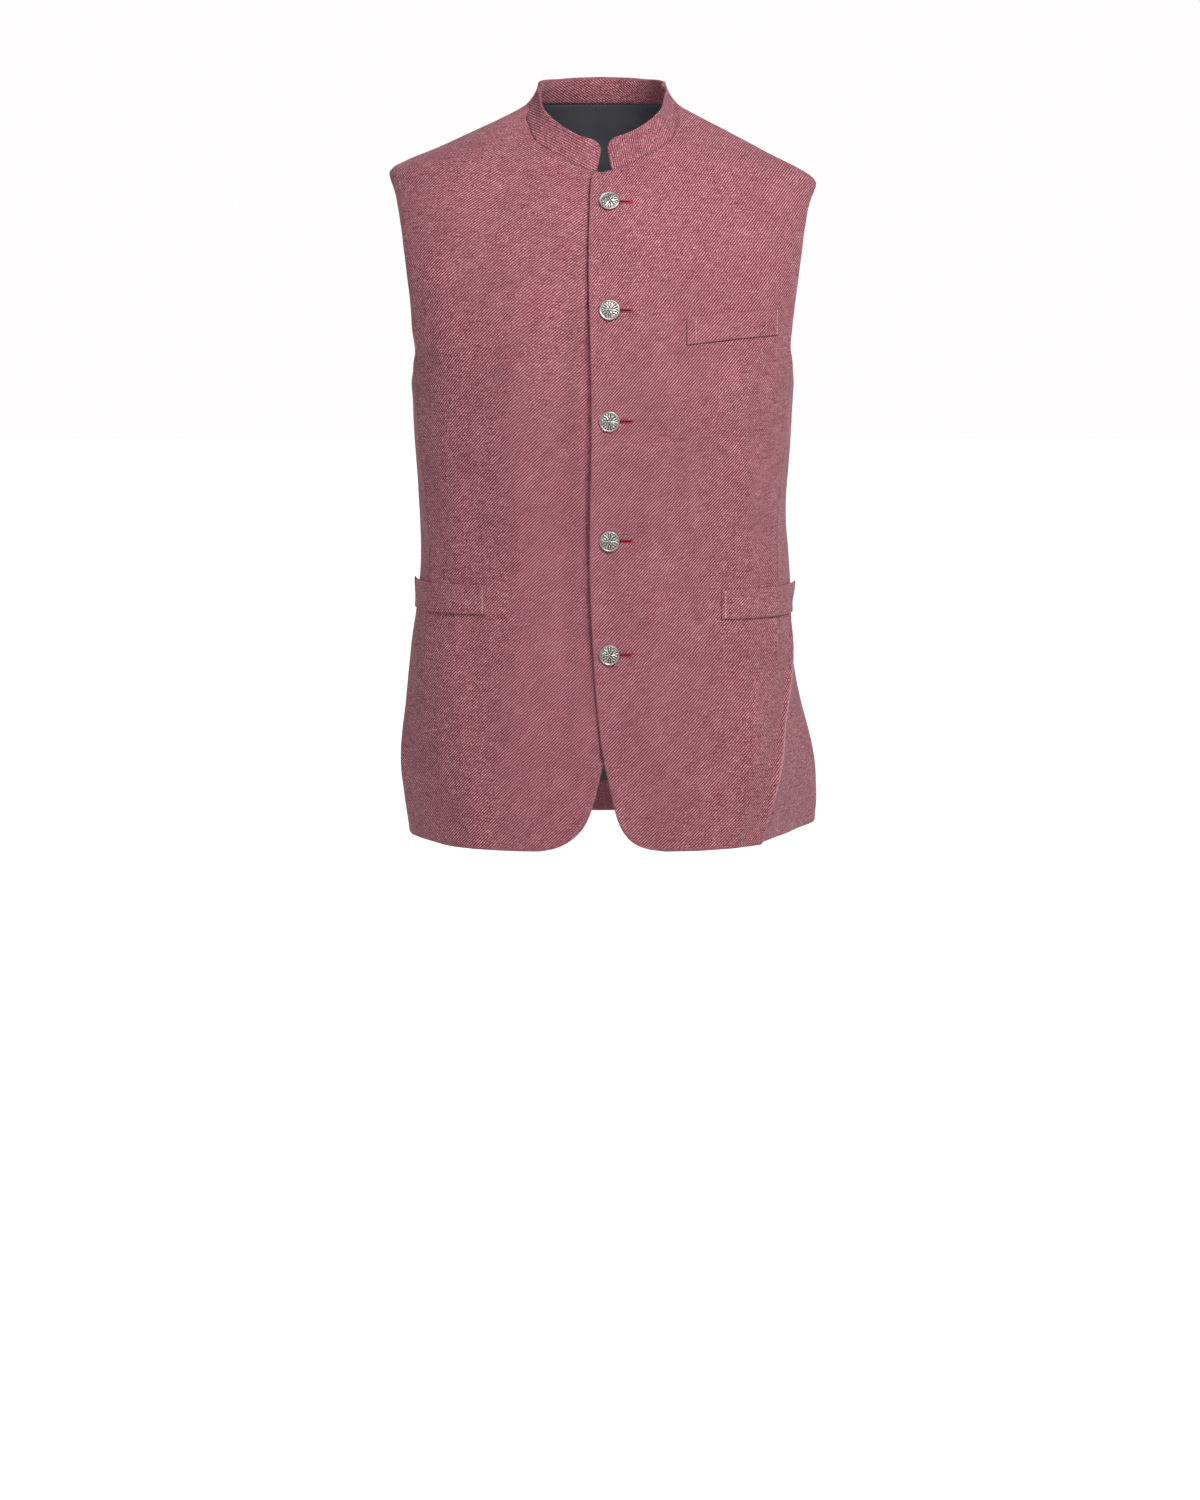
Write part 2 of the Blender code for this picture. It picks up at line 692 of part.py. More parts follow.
def turn_to(point, normal, across=0.0):
    """Placement whose Z is the normal and whose X runs level to the wearer's left."""
    level = Vector((0.0, 0.0, 1.0)).cross(normal).normalized()
    up = normal.cross(level)
    placement = Matrix((level, up, normal)).transposed().to_4x4()
    placement.translation = (point + level * across) * MM
    return placement


def make_button(name, height, material):
    """A shank button, turned from one profile; the shank ends at the under front."""
    shank_end = -(BUTTON_LIFT + BODY_WALL + OVERLAP_GAP - SEAM_GAP)
    profile = [(0.0, shank_end), (SHANK_RADIUS, shank_end), (SHANK_RADIUS, 0.0)]
    profile += [(row.radius, row.height) for row in BUTTON_PROFILE]
    mesh_maker = bmesh.new()
    line = [mesh_maker.verts.new((r * MM, 0.0, z * MM)) for r, z in profile]
    edges = [mesh_maker.edges.new(pair) for pair in zip(line, line[1:])]
    bmesh.ops.spin(mesh_maker, geom=line + edges, cent=(0, 0, 0), axis=(0, 0, 1),
                   angle=math.tau, steps=BUTTON_STEPS, use_merge=True)
    bmesh.ops.remove_doubles(mesh_maker, verts=mesh_maker.verts, dist=1e-6)
    bmesh.ops.recalc_face_normals(mesh_maker, faces=mesh_maker.faces)
    mesh = bpy.data.meshes.new(name)
    mesh_maker.to_mesh(mesh)
    mesh_maker.free()
    mesh.shade_smooth()
    mesh.set_sharp_from_angle(angle=METAL_SHARP_ANGLE)
    piece = add_object(name, mesh, material)
    point, normal = button_place(height)
    piece.matrix_world = turn_to(point + normal * BUTTON_LIFT, normal)
    return piece


def cut_buttonhole(front, number, height):
    """A level slit through the over front, from the shank toward the wearer's left."""
    point, normal = button_place(height)
    half = HOLE_WIDTH / 2.0
    straight = HOLE_LENGTH - HOLE_WIDTH
    outline = []
    for centre, start in ((0.0, math.pi / 2), (straight, -math.pi / 2)):
        for k in range(HOLE_END_STEPS + 1):
            turn = start + math.pi * k / HOLE_END_STEPS
            outline.append((centre + half * math.cos(turn), half * math.sin(turn)))
    mesh_maker = bmesh.new()
    floor = -0.5 * HOLE_CUT_DEPTH * MM
    corners = [mesh_maker.verts.new((x * MM, y * MM, floor)) for x, y in outline]
    face = mesh_maker.faces.new(corners)
    made = bmesh.ops.extrude_face_region(mesh_maker, geom=[face])
    moved = [v for v in made["geom"] if isinstance(v, bmesh.types.BMVert)]
    bmesh.ops.translate(mesh_maker, verts=moved, vec=(0, 0, HOLE_CUT_DEPTH * MM))
    bmesh.ops.recalc_face_normals(mesh_maker, faces=mesh_maker.faces)
    name = f"buttonhole_cutter_{number}"
    mesh = bpy.data.meshes.new(name)
    mesh_maker.to_mesh(mesh)
    mesh_maker.free()
    cutter = bpy.data.objects.new(name, mesh)
    bpy.context.scene.collection.objects.link(cutter)
    cutter.matrix_world = turn_to(point, normal, across=HOLE_START)
    cutter.hide_render = True
    cutter.display_type = "WIRE"
    cut = front.modifiers.new(f"buttonhole {number}", "BOOLEAN")
    cut.operation = "DIFFERENCE"
    cut.solver = "EXACT"
    cut.object = cutter


def main():
    for old in list(bpy.data.objects):
        bpy.data.objects.remove(old)
    cloth = finish_material("wine twill", (0.36, 0.16, 0.19), 0.85, 0.0)
    metal = finish_material("antique silver", (0.55, 0.54, 0.52), 0.35, 1.0)
    front_left = wall("front_left", *front_grid(1), BODY_WALL, cloth)
    wall("front_right", *front_grid(-1), BODY_WALL, cloth)
    wall("back", *back_grid(), BODY_WALL, cloth)
    wall("collar", *collar_grid(), COLLAR_WALL, cloth)
    for welt in SIDE_WELTS:
        wall(welt.name, *side_welt_grid(welt), WELT_WALL, cloth)
    wall("chest_welt", *chest_welt_grid(), WELT_WALL, cloth)
    for number, height in enumerate(BUTTON_HEIGHTS, 1):
        cut_buttonhole(front_left, number, height)
        make_button(f"button_{number}", height, metal)


main()
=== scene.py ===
"""A sleeveless nehru jacket in heathered wine twill, worn and buttoned.

Each cut piece of cloth is a thin shell on the form of its solid: its outline is drawn
as places (angle round the body, height), the places are filled with an even grid, and
the grid is flattened the way the cloth was cut, so that the twill follows the cut.

Sizes are in millimetres until a mesh is made. The wearer faces -Y, and the wearer's
left is +X.
"""
import math
from collections import namedtuple

import bmesh
import bpy
import numpy as np
from mathutils import Matrix, Vector, noise


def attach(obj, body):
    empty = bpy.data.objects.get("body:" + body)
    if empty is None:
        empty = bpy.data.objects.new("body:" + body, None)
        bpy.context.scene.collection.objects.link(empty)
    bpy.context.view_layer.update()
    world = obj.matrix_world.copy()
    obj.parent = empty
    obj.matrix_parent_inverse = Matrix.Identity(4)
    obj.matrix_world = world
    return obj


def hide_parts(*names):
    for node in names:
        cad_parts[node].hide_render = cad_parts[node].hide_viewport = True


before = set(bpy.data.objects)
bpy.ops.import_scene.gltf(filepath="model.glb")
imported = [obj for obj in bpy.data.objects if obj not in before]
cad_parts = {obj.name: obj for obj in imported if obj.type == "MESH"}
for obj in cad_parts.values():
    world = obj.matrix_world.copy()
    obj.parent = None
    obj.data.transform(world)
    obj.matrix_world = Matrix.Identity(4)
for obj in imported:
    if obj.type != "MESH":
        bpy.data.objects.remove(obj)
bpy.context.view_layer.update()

MM = 0.001

# Cloth and seams
BODY_WALL = 2.0
COLLAR_WALL = 2.4
WELT_WALL = 1.6
OVERLAP_GAP = 0.6
SEAM_GAP = 0.08
WELT_GAP = 0.35
TURNED_EDGE = 1.0
SEAM_EDGE = 0.3
NECK_SEAM_EDGE = 0.04
ARMHOLE_EDGE_STEP = 0.07
EDGE_TURNS = (0.25, 0.5, 0.75)
EDGE_CLOTH = 1.4

# Where the main seams lie
RIDGE_Y = 8.0
SHOULDER_SEAM_BACK = 6.0
SIDE_SEAM_ANGLE = 97.0
HEM = -714.0
UNDERARM = -270.0
SHOULDER_TIP = -50.0
NECK_SIDE = 13.0

# The wearer's left shoulder hangs lower than the right one.
SHOULDER_DROP = 10.0
DROP_START = 60.0
DROP_REACH = 153.0
DROP_BEND = 1.8
DROP_FADE_TOP = -70.0
DROP_FADE_BOTTOM = -260.0

# Where the over front rides up on the under front, measured from the middle
LAP_FLAT_TO = 28.0
LAP_BLEND_TO = 75.0

# Level sections of the jacket's outer face. front and back are depths from the
# shoulder ridge, and the squares say how boxy that half of the section is.
Section = namedtuple("Section", "height width front back front_square back_square")
SECTIONS = [Section(*row) for row in (
    (-714, 197.0, 148, 121, 2.75, 2.6), (-680, 201.5, 148, 120, 2.75, 2.6),
    (-645, 204.0, 147, 119, 2.75, 2.6), (-580, 199.0, 145, 115, 2.75, 2.6),
    (-520, 193.0, 143, 109, 2.80, 2.7), (-488, 188.0, 142, 106, 2.80, 2.7),
    (-430, 182.5, 141, 104, 2.80, 2.7), (-370, 184.5, 143, 107, 2.80, 2.8),
    (-320, 188.0, 146, 113, 2.80, 2.8), (-268, 190.5, 146, 117, 2.85, 2.8),
    (-237, 194.0, 145, 118, 2.85, 2.8), (-195, 201.0, 140, 118, 2.85, 2.8),
    (-150, 209.0, 129, 115, 2.75, 2.7), (-120, 212.5, 118, 111, 2.60, 2.6),
    (-90, 213.5, 103, 105, 2.40, 2.5), (-64, 213.5, 86, 98, 2.20, 2.4),
    (-56, 213.0, 81, 96, 2.20, 2.4), (-50, 209.5, 77, 94, 2.15, 2.3),
    (-43, 197.0, 73, 90, 2.10, 2.3), (-30, 165.0, 63, 84, 2.05, 2.2),
    (-11, 123.0, 45, 75, 2.00, 2.2), (0, 99.0, 34, 69, 2.00, 2.2),
    (13, 75.0, 15, 59, 2.00, 2.2), (26, 62.0, 8, 48, 2.00, 2.2),
)]

# The armhole's edge: how far it runs before and behind the shoulder ridge
ArmholeRow = namedtuple("ArmholeRow", "height front back")
ARMHOLE = [ArmholeRow(*row) for row in (
    (-50, 0, 6), (-57, 12, 15), (-68, 25, 28), (-82, 38, 40), (-100, 51, 51),
    (-122, 63, 60), (-150, 73, 68), (-185, 78, 73), (-215, 76, 72), (-237, 68, 67),
    (-252, 55, 59), (-263, 34, 46), (-270, -10, 24),
)]

# The neck seam and the collar on it, by the angle round the neck
NeckRow = namedtuple("NeckRow", "angle height rise lean")
NECK = [NeckRow(*row) for row in (
    (0, -60, 31.0, 8.0), (16, -53, 29.0, 7.5), (28, -44, 28.0, 7.5), (38, -36.5, 28.5, 8.0),
    (49, -27.5, 30.0, 9.5), (66, -8, 29.0, 11.0), (90, 13, 22.0, 12.0), (120, 17, 22.5, 11.0),
    (150, 18, 24.5, 9.0), (180, 18, 25.5, 8.0),
)]

# The front edges, measured from the middle: the over one laps to the wearer's right
EdgeRow = namedtuple("EdgeRow", "height over under")
FRONT_EDGES = [EdgeRow(*row) for row in (
    (-714, 61.0, -61.0), (-711, 43.5, -46.0), (-703, 28.0, -31.0), (-689, 17.2, -17.5),
    (-668, 10.5, -9.0), (-644, 5.3, -3.0), (-621, 0.2, 2.5), (-592, -3.5, 8.0),
    (-555, -7.0, 13.0), (-500, -10.4, 18.0), (-430, -12.7, 21.0), (-300, -11.0, 22.0),
    (-210, -12.2, 22.0), (-150, -13.8, 22.0), (-90, -12.5, 21.0), (-64, -10.5, 19.0),
    (-60, -7.5, 16.0),
)]
CORNER_HEIGHT = -700.5

# Folds and hollows of the worn cloth. side is +1 on the wearer's left and -1 on the
# right, spread is half the width in degrees, and depth is outward where positive.
Fold = namedtuple("Fold", "name side top bottom top_angle bottom_angle spread depth fade")
FOLDS = [Fold(*row) for row in (
    ("left hip", 1, -375, -515, 90, 90, 25.0, 5.5, 0.5),
    ("left skirt tuck", 1, -500, -714, 83, 68, 16.0, -17.0, 0.5),
    ("left skirt crest", 1, -500, -714, 76, 56, 4.0, 3.5, 0.4),
    ("left back flare", 1, -490, -714, 104, 109, 14.5, 37.0, 1.1),
    ("right skirt tuck", -1, -540, -714, 60, 65, 12.0, -9.0, 0.8),
    ("right skirt crest", -1, -560, -700, 77, 78, 6.0, 2.0, 0.5),
    ("right back flare", -1, -570, -681, 104, 106, 14.0, 6.0, 0.5),
    ("left dart ridge", 1, -237, -545, 70, 60, 4.0, 1.4, 0.25),
    ("right dart ridge", -1, -237, -560, 71, 62, 4.0, 1.4, 0.25),
    ("right collarbone hollow", -1, -40, -190, 46, 38, 13.0, -4.0, 0.35),
    ("left chest hollow", 1, -60, -170, 52, 46, 11.0, -2.0, 0.35),
    ("left front swag", 1, -470, -714, 40, 34, 9.0, 2.0, 0.5),
    ("right front swag", -1, -500, -714, 36, 30, 9.0, 1.8, 0.5),
    ("left small of back", 1, -330, -560, 158, 152, 8.0, 2.5, 0.5),
    ("right small of back", -1, -300, -540, 150, 146, 8.0, 2.2, 0.5),
    ("left seat fold", 1, -500, -714, 140, 146, 9.0, 4.0, 0.6),
    ("right seat fold", -1, -520, -714, 134, 138, 10.0, 5.0, 0.6),
)]

# Creases finer than the folds, each along a line between two places. width is half
# the crease's width in millimetres, and depth is outward where positive.
Crease = namedtuple("Crease", "name side angle_a height_a angle_b height_b width depth")
CREASES = [Crease(*row) for row in (
    ("right armhole pull", -1, 71, -226, 52, -262, 8, -2.0),
    ("right armhole pull, low", -1, 74, -246, 58, -300, 9, -1.5),
    ("right armhole roll", -1, 68, -206, 50, -236, 9, 1.4),
    ("left armhole pull", 1, 70, -222, 50, -250, 9, -1.5),
    ("left armhole roll", 1, 71, -240, 55, -284, 9, 1.2),
    ("right chest drag", -1, 20, -96, 40, -176, 12, -2.4),
    ("right chest swell", -1, 30, -190, 33, -300, 16, 2.4),
    ("left chest swell", 1, 36, -230, 40, -330, 18, 2.0),
    ("right side waist", -1, 78, -352, 66, -382, 8, -1.8),
    ("right side waist, low", -1, 80, -398, 62, -420, 9, -1.5),
    ("left side waist", 1, 80, -366, 68, -392, 8, -1.7),
    ("left side waist, low", 1, 82, -412, 70, -428, 7, -1.4),
    ("right belly ripple", -1, 24, -430, 28, -560, 10, -1.5),
    ("left belly ripple", 1, 26, -420, 24, -540, 11, -1.4),
    ("left hem ripple", 1, 50, -612, 46, -712, 8, 1.8),
    ("left hem ripple, inner", 1, 22, -630, 19, -712, 9, 1.4),
    ("right hem ripple", -1, 47, -588, 44, -712, 9, 2.1),
    ("right hem ripple, inner", -1, 20, -600, 24, -712, 9, -1.5),
    ("right skirt drag", -1, 70, -500, 62, -566, 7, -1.5),
    ("left blade drag", 1, 130, -150, 150, -196, 12, -2.7),
    ("left blade drag, low", 1, 126, -226, 146, -258, 10, -2.0),
    ("right blade drag", -1, 132, -160, 154, -214, 12, -2.5),
    ("right blade drag, low", -1, 124, -240, 142, -272, 9, -1.8),
    ("left back waist", 1, 112, -372, 150, -392, 9, -2.5),
    ("left back waist, low", 1, 118, -408, 160, -418, 8, -1.8),
    ("right back waist", -1, 108, -386, 144, -402, 9, -2.4),
    ("right back waist, low", -1, 120, -424, 158, -436, 8, -1.7),
    ("centre back ripple", 1, 174, -560, 170, -712, 11, 2.4),
    ("right nape crease", -1, 150, -14, 128, -40, 8, -1.5),
    ("left nape crease", 1, 148, -18, 126, -36, 8, -1.4),
    ("left skirt ridge", 1, 76, -500, 57.8, -695, 4.0, 4.6),
    ("left skirt trough", 1, 80.5, -520, 62.5, -695, 6.5, -5.2),
    ("left dart seam", 1, 66.5, -380, 61, -548, 4, 0.9),
    ("right dart seam", -1, 67, -300, 62, -560, 4, 0.7),
    ("right hip trough", -1, 72, -560, 73, -712, 7, -1.6),
    ("right hip ridge", -1, 77, -560, 78, -706, 5, 1.4),
    ("right front trough", -1, 14, -130, 15, -640, 17, -4.2),
    ("under edge groove", -1, 6.5, -90, 6.0, -620, 7, -3.0),
    ("right front swell", -1, 31, -170, 28, -610, 17, 3.0),
    ("right side dip", -1, 47, -240, 44, -640, 15, -2.4),
    ("right shoulder hollow", -1, 53, -58, 47, -190, 22, -4.5),
    ("left side swell", 1, 50, -300, 51, -660, 14, 3.4),
    ("left side dip", 1, 37, -280, 38, -680, 15, -3.4),
    ("left front swell", 1, 22, -150, 20, -640, 18, 2.6),
    ("left chest dip", 1, 48, -120, 40, -260, 20, -2.2),
)]
MM_PER_DEGREE = 3.1

# A painted highlight along the pressed crest of the left skirt: the cloth is painted paler along the
# crest's line, by its depth.
PAINTED_CREST_HIGHLIGHT = Crease("left skirt rubbed", 1, 75.5, -505, 57.4, -698, 1.7, 0.5)

# The over front's edge curls off the under front, more in some places than others.
EDGE_CURL = 2.2
EDGE_CURL_REACH = 12.0
EDGE_WAVE_LENGTH = 45.0
RIPPLE_HEIGHT = 0.55
RIPPLE_LENGTH = 46.0

# The underarm dart's line on each front, and how far down its seam shows
DartRow = namedtuple("DartRow", "height angle")
DART = [DartRow(*row) for row in (
    (-714, 55.5), (-600, 60.5), (-505, 64.4), (-460, 64.5), (-237, 70.0),
)]
DART_END = -545.0
DART_FADE = 60.0

# Pocket welts
Welt = namedtuple("Welt", "name front side top inner_x height")
SIDE_WELTS = [Welt(*row) for row in (
    ("pocket_welt_left", "front_left", 1, -459.5, 116.0, 29.0),
    ("pocket_welt_right", "front_right", -1, -455.5, 114.0, 28.5),
)]
WELT_OUTER_ANGLE = 88.0
WELT_GAPE = 3.6
WELT_GAPE_REACH = 14.0
CHEST_WELT_INNER_X = 80.0
CHEST_WELT_OUTER_X = 169.7
CHEST_WELT_INNER_TOP = -198.7
CHEST_WELT_OUTER_TOP = -187.7
CHEST_WELT_HEIGHT = 25.7

# Collar ends
COLLAR_GAP_X = 1.8
COLLAR_END_BASE = 7.2
COLLAR_END_TOP = 3.0
COLLAR_CORNER = 11.0
COLLAR_BEND = 1.8
COLLAR_SLIP_REACH = 25.0

# Buttons and their holes
BUTTON_X = 6.5
BUTTON_HEIGHTS = (-89.0, -192.0, -297.0, -411.5, -521.5)
BUTTON_LIFT = 0.5
HOLE_LENGTH = 21.5
HOLE_WIDTH = 1.3
LIP_WIDTH = 1.5

# Steps along the border lines, before they are spaced evenly
SEAM_LINE = 120
ARMHOLE_LINE = 160
SHOULDER_LINE = 60
EDGE_LINE = 200
CORNER_LINE = 60
HEM_LINE = 40
NECK_LINE = 80

# Grid steps
BOTTOM_TO_UNDERARM = 96
ARMHOLE_STEPS = 60
SHOULDER_STEPS = 30
FRONT_COLUMNS = 140
BACK_COLUMNS = 70
RELAX_ROUNDS = 30
HALVINGS = 30

# Facings, dart and welts
FACING_WIDTH = 70.0
HEM_TURN_UP = 30.0
DART_TOP = -240.0
DART_TOP_FADE = 12.0
DART_WIDTH = 1.1
DART_DEPTH = 0.0006
WELT_EDGE = 0.75
WELT_ROWS = 12
WELT_COLUMNS = 40
SIDE_STITCH_COLUMNS = (1,)
CHEST_STITCH_COLUMNS = (4, WELT_COLUMNS - 1)

# The collar's grid
COLLAR_ROWS = 10
COLLAR_COLUMNS = 66
COLLAR_CORNER_COLUMNS = 9
COLLAR_RIPPLE = 1.1
COLLAR_RIPPLE_LENGTH = 30.0
COLLAR_BIAS = 65.0
BAND_CURVE_ROOM = 1.15

# A button's turned edge, from the back face over the rim, and its rosette
ProfileRow = namedtuple("ProfileRow", "radius height")
BUTTON_EDGE = [ProfileRow(*row) for row in (
    (7.6, 0.0), (9.0, 0.45), (9.7, 0.9), (9.85, 1.4), (9.75, 2.0),
    (9.45, 2.4), (9.1, 2.55), (8.75, 2.45), (8.5, 2.15), (8.3, 1.85),
)]
BUTTON_FACE_ROWS = [ProfileRow(*row) for row in (
    (0.0, 2.45), (4.0, 2.2), (7.0, 1.8), (8.3, 1.85),
)]
SHANK_RADIUS = 1.2
BUTTON_STEPS = 120
BUTTON_RINGS = 34
BUTTON_RELIEF = 0.5
FACE_RADIUS = 8.0
EYE_RADIUS = 1.1
LEAF_FILL = 0.9
LeafRing = namedtuple("LeafRing", "count inner outer offset")
LEAF_RINGS = [LeafRing(*row) for row in (
    (6, 1.2, 4.4, 0.0), (12, 3.2, 6.6, 0.0), (18, 5.6, 8.1, 1.57),
)]

# Buttonholes
HOLE_END_STEPS = 5
HOLE_CUT_DEPTH = 2.5
LIP_HIGH = 0.32
LIP_START = 7.0
LIP_POINTS = 16
BAR_POINTS = 4

# Stitches: size is half a bead's length, width and height, uneven a share of them.
Stitch = namedtuple("Stitch", "spacing size uneven seed")
LIP_STITCH = Stitch(0.62, (0.33, LIP_WIDTH / 2, LIP_HIGH), 0.12, 3)
BAR_STITCH = Stitch(0.5, (0.3, 0.8, LIP_HIGH * 1.2), 0.1, 5)
WELT_STITCH = Stitch(2.6, (1.15, 0.42, 0.35), 0.15, 7)

# The cloth: yarn and flecks in metres, scales in waves per metre
YARN = 0.00078
WANDER_SCALE = 70.0
WANDER = 1.0
SLUB = 0.055
FLECK_SHARE = 0.006
CLOUD_SCALE = 22.0
FUZZ_SCALE = 2600.0
YARN_RELIEF = 0.00022
WARP_DARK = (0.073, 0.004, 0.012, 1.0)
WARP_LIGHT = (0.345, 0.085, 0.112, 1.0)
WEFT_DARK = (0.235, 0.036, 0.058, 1.0)
WEFT_LIGHT = (0.850, 0.440, 0.500, 1.0)
FLECK_PALE = (0.820, 0.680, 0.680, 1.0)
FLECK_RUST = (0.450, 0.150, 0.090, 1.0)
CLOUD_DARK = (0.170, 0.045, 0.065, 1.0)
CRIMSON = ((0.30, 0.01, 0.03, 1.0), (0.60, 0.02, 0.06, 1.0))
PALE_PINK = ((0.40, 0.31, 0.31, 1.0), (0.80, 0.62, 0.62, 1.0))

# The camera and the studio, in metres and watts
CAMERA_DISTANCE = 3.0
CAMERA_TILT = math.radians(7.6)
CAMERA_X = -0.0025
CAMERA_HEIGHT = -0.232
LENS = 71.37
DIM_SIDE = 0.24
KEY_PLACE = (0.8, -1.85, 1.3)
KEY_POWER = 58.0
FILL_PLACE = (-0.9, -2.2, 0.1)
FILL_POWER = 6.0
FLOOR_GLOW = 0.85
FLOOR_HEIGHT = -1.45
FLOOR_RADIUS = 40.0
FLOOR_CORNERS = 96


def smooth(low, high, value):
    """0 below low, 1 above high, with an even blend between."""
    t = min(max((value - low) / (high - low), 0.0), 1.0)
    return t * t * (3.0 - 2.0 * t)


def evenly(first, last, count):
    """The numbers from first to last, count even steps apart."""
    return [first + (last - first) * i / count for i in range(count + 1)]


class Curve:
    """A smooth line through the rows of a table, with no overshoot."""

    def __init__(self, rows, key, value):
        pairs = sorted((getattr(row, key), getattr(row, value)) for row in rows)
        self.x = [float(pair[0]) for pair in pairs]
        self.y = [float(pair[1]) for pair in pairs]
        steps = [b - a for a, b in zip(self.x, self.x[1:])]
        slopes = [(b - a) / h for a, b, h in zip(self.y, self.y[1:], steps)]
        self.slope = [slopes[0]]
        for h0, h1, s0, s1 in zip(steps, steps[1:], slopes, slopes[1:]):
            if s0 * s1 <= 0.0:
                self.slope.append(0.0)
                continue
            w0 = 2.0 * h1 + h0
            w1 = h1 + 2.0 * h0
            self.slope.append((w0 + w1) / (w0 / s0 + w1 / s1))
        self.slope.append(slopes[-1])

    def __call__(self, x):
        x = min(max(x, self.x[0]), self.x[-1])
        i = 0
        while i < len(self.x) - 2 and x > self.x[i + 1]:
            i += 1
        h = self.x[i + 1] - self.x[i]
        t = (x - self.x[i]) / h
        a = self.y[i] * (1 + 2 * t) * (1 - t) ** 2
        b = self.slope[i] * h * t * (1 - t) ** 2
        c = self.y[i + 1] * t * t * (3 - 2 * t)
        d = self.slope[i + 1] * h * t * t * (t - 1)
        return a + b + c + d


WIDTH = Curve(SECTIONS, "height", "width")
FRONT = Curve(SECTIONS, "height", "front")
BACK = Curve(SECTIONS, "height", "back")
FRONT_SQUARE = Curve(SECTIONS, "height", "front_square")
BACK_SQUARE = Curve(SECTIONS, "height", "back_square")
ARM_FRONT = Curve(ARMHOLE, "height", "front")
ARM_BACK = Curve(ARMHOLE, "height", "back")
NECK_HEIGHT = Curve(NECK, "angle", "height")
COLLAR_RISE = Curve(NECK, "angle", "rise")
COLLAR_LEAN = Curve(NECK, "angle", "lean")
OVER_EDGE = Curve(FRONT_EDGES, "height", "over")
UNDER_EDGE = Curve(FRONT_EDGES, "height", "under")
DART_LINE = Curve(DART, "height", "angle")
BUTTON_FACE = Curve(BUTTON_FACE_ROWS, "radius", "height")


def front_edge(side, height):
    """The front edge's distance from the middle, toward that front's own side."""
    return OVER_EDGE(height) if side > 0 else -UNDER_EDGE(height)


def fold_push(side, angle, height):
    """How far the folds and creases move the cloth outward at one place."""
    push = 0.0
    for fold in FOLDS:
        if fold.side != side or height >= fold.top:
            continue
        run = min((fold.top - height) / (fold.top - fold.bottom), 1.0)
        crest = fold.top_angle + (fold.bottom_angle - fold.top_angle) * run
        off = (angle - crest) / fold.spread
        if abs(off) > 3.0:
            continue
        start = smooth(0.0, fold.fade, run)
        end = 1.0 if fold.bottom <= HEM else smooth(0.0, fold.fade, 1.0 - run)
        push += fold.depth * start * end * math.exp(-off * off)
    x, y = angle * MM_PER_DEGREE, height
    for crease in CREASES:
        if crease.side != side:
            continue
        ax, ay = crease.angle_a * MM_PER_DEGREE, crease.height_a
        bx, by = crease.angle_b * MM_PER_DEGREE - ax, crease.height_b - ay
        along = ((x - ax) * bx + (y - ay) * by) / (bx * bx + by * by)
        if not -0.3 < along < 1.3:
            continue
        across = abs((x - ax) * by - (y - ay) * bx) / math.hypot(bx, by) / crease.width
        if across < 3.0:
            ends = smooth(-0.3, 0.35, along) * smooth(-0.3, 0.35, 1.0 - along)
            push += crease.depth * ends * math.exp(-across * across)
    return push


def section_radius(angle, height):
    """Distance from the ridge line's middle to the plain section, with no folds."""
    turn = math.radians(angle)
    depth, square = FRONT(height), FRONT_SQUARE(height)
    if abs(angle) > 90.0:
        depth, square = BACK(height), BACK_SQUARE(height)
    across = (abs(math.sin(turn)) / WIDTH(height)) ** square
    along = (abs(math.cos(turn)) / depth) ** square
    return (across + along) ** (-1.0 / square)


def shoulder_drop(out, height):
    """How much lower the wearer's left shoulder lies, most at its tip."""
    along = min(max((out - DROP_START) / DROP_REACH, 0.0), 1.0)
    return SHOULDER_DROP * along ** DROP_BEND * smooth(DROP_FADE_BOTTOM, DROP_FADE_TOP, height)


def skin(side, angle, height):
    """A point of the outer face, by its angle from the centre front and its height."""
    turn = math.radians(angle)
    reach = section_radius(angle, height) + fold_push(side, angle, height)
    out = reach * math.sin(turn)
    drop = shoulder_drop(out, height) if side > 0 else 0.0
    point = Vector((side * out, RIDGE_Y - reach * math.cos(turn), height - drop))
    ripple = noise.noise(point / RIPPLE_LENGTH) + 0.5 * noise.noise(point * 2.3 / RIPPLE_LENGTH)
    away = Vector((point.x, point.y - RIDGE_Y, 0.0)).normalized()
    return point + away * (ripple * RIPPLE_HEIGHT)


def skin_normal(side, angle, height):
    """Outward direction of the outer face at one place."""
    step_angle, step_height = 0.6, 1.5
    across = skin(side, angle + step_angle, height) - skin(side, angle - step_angle, height)
    up = skin(side, angle, height + step_height) - skin(side, angle, height - step_height)
    return (across.cross(up) * side).normalized()


def lap_lift(x):
    """How far the over front, and its collar end, are raised on the under front."""
    return (BODY_WALL + OVERLAP_GAP) * (1.0 - smooth(LAP_FLAT_TO, LAP_BLEND_TO, x))


def over_front_point(angle, height):
    """A point on the over front's outer face, with the direction out of it."""
    normal = skin_normal(1, angle, height)
    point = skin(1, angle, height)
    return point + normal * lap_lift(point.x), normal


def halved(low, high, short):
    """The place between low and high as far as which short(place) holds."""
    for _ in range(HALVINGS):
        middle = 0.5 * (low + high)
        if short(middle):
            low = middle
        else:
            high = middle
    return 0.5 * (low + high)


def angle_at_x(x, height):
    """The angle, before folds, at which the section is x away from the middle."""
    return halved(-60.0, 89.0, lambda angle: section_radius(angle, height)
                  * math.sin(math.radians(angle)) < x)


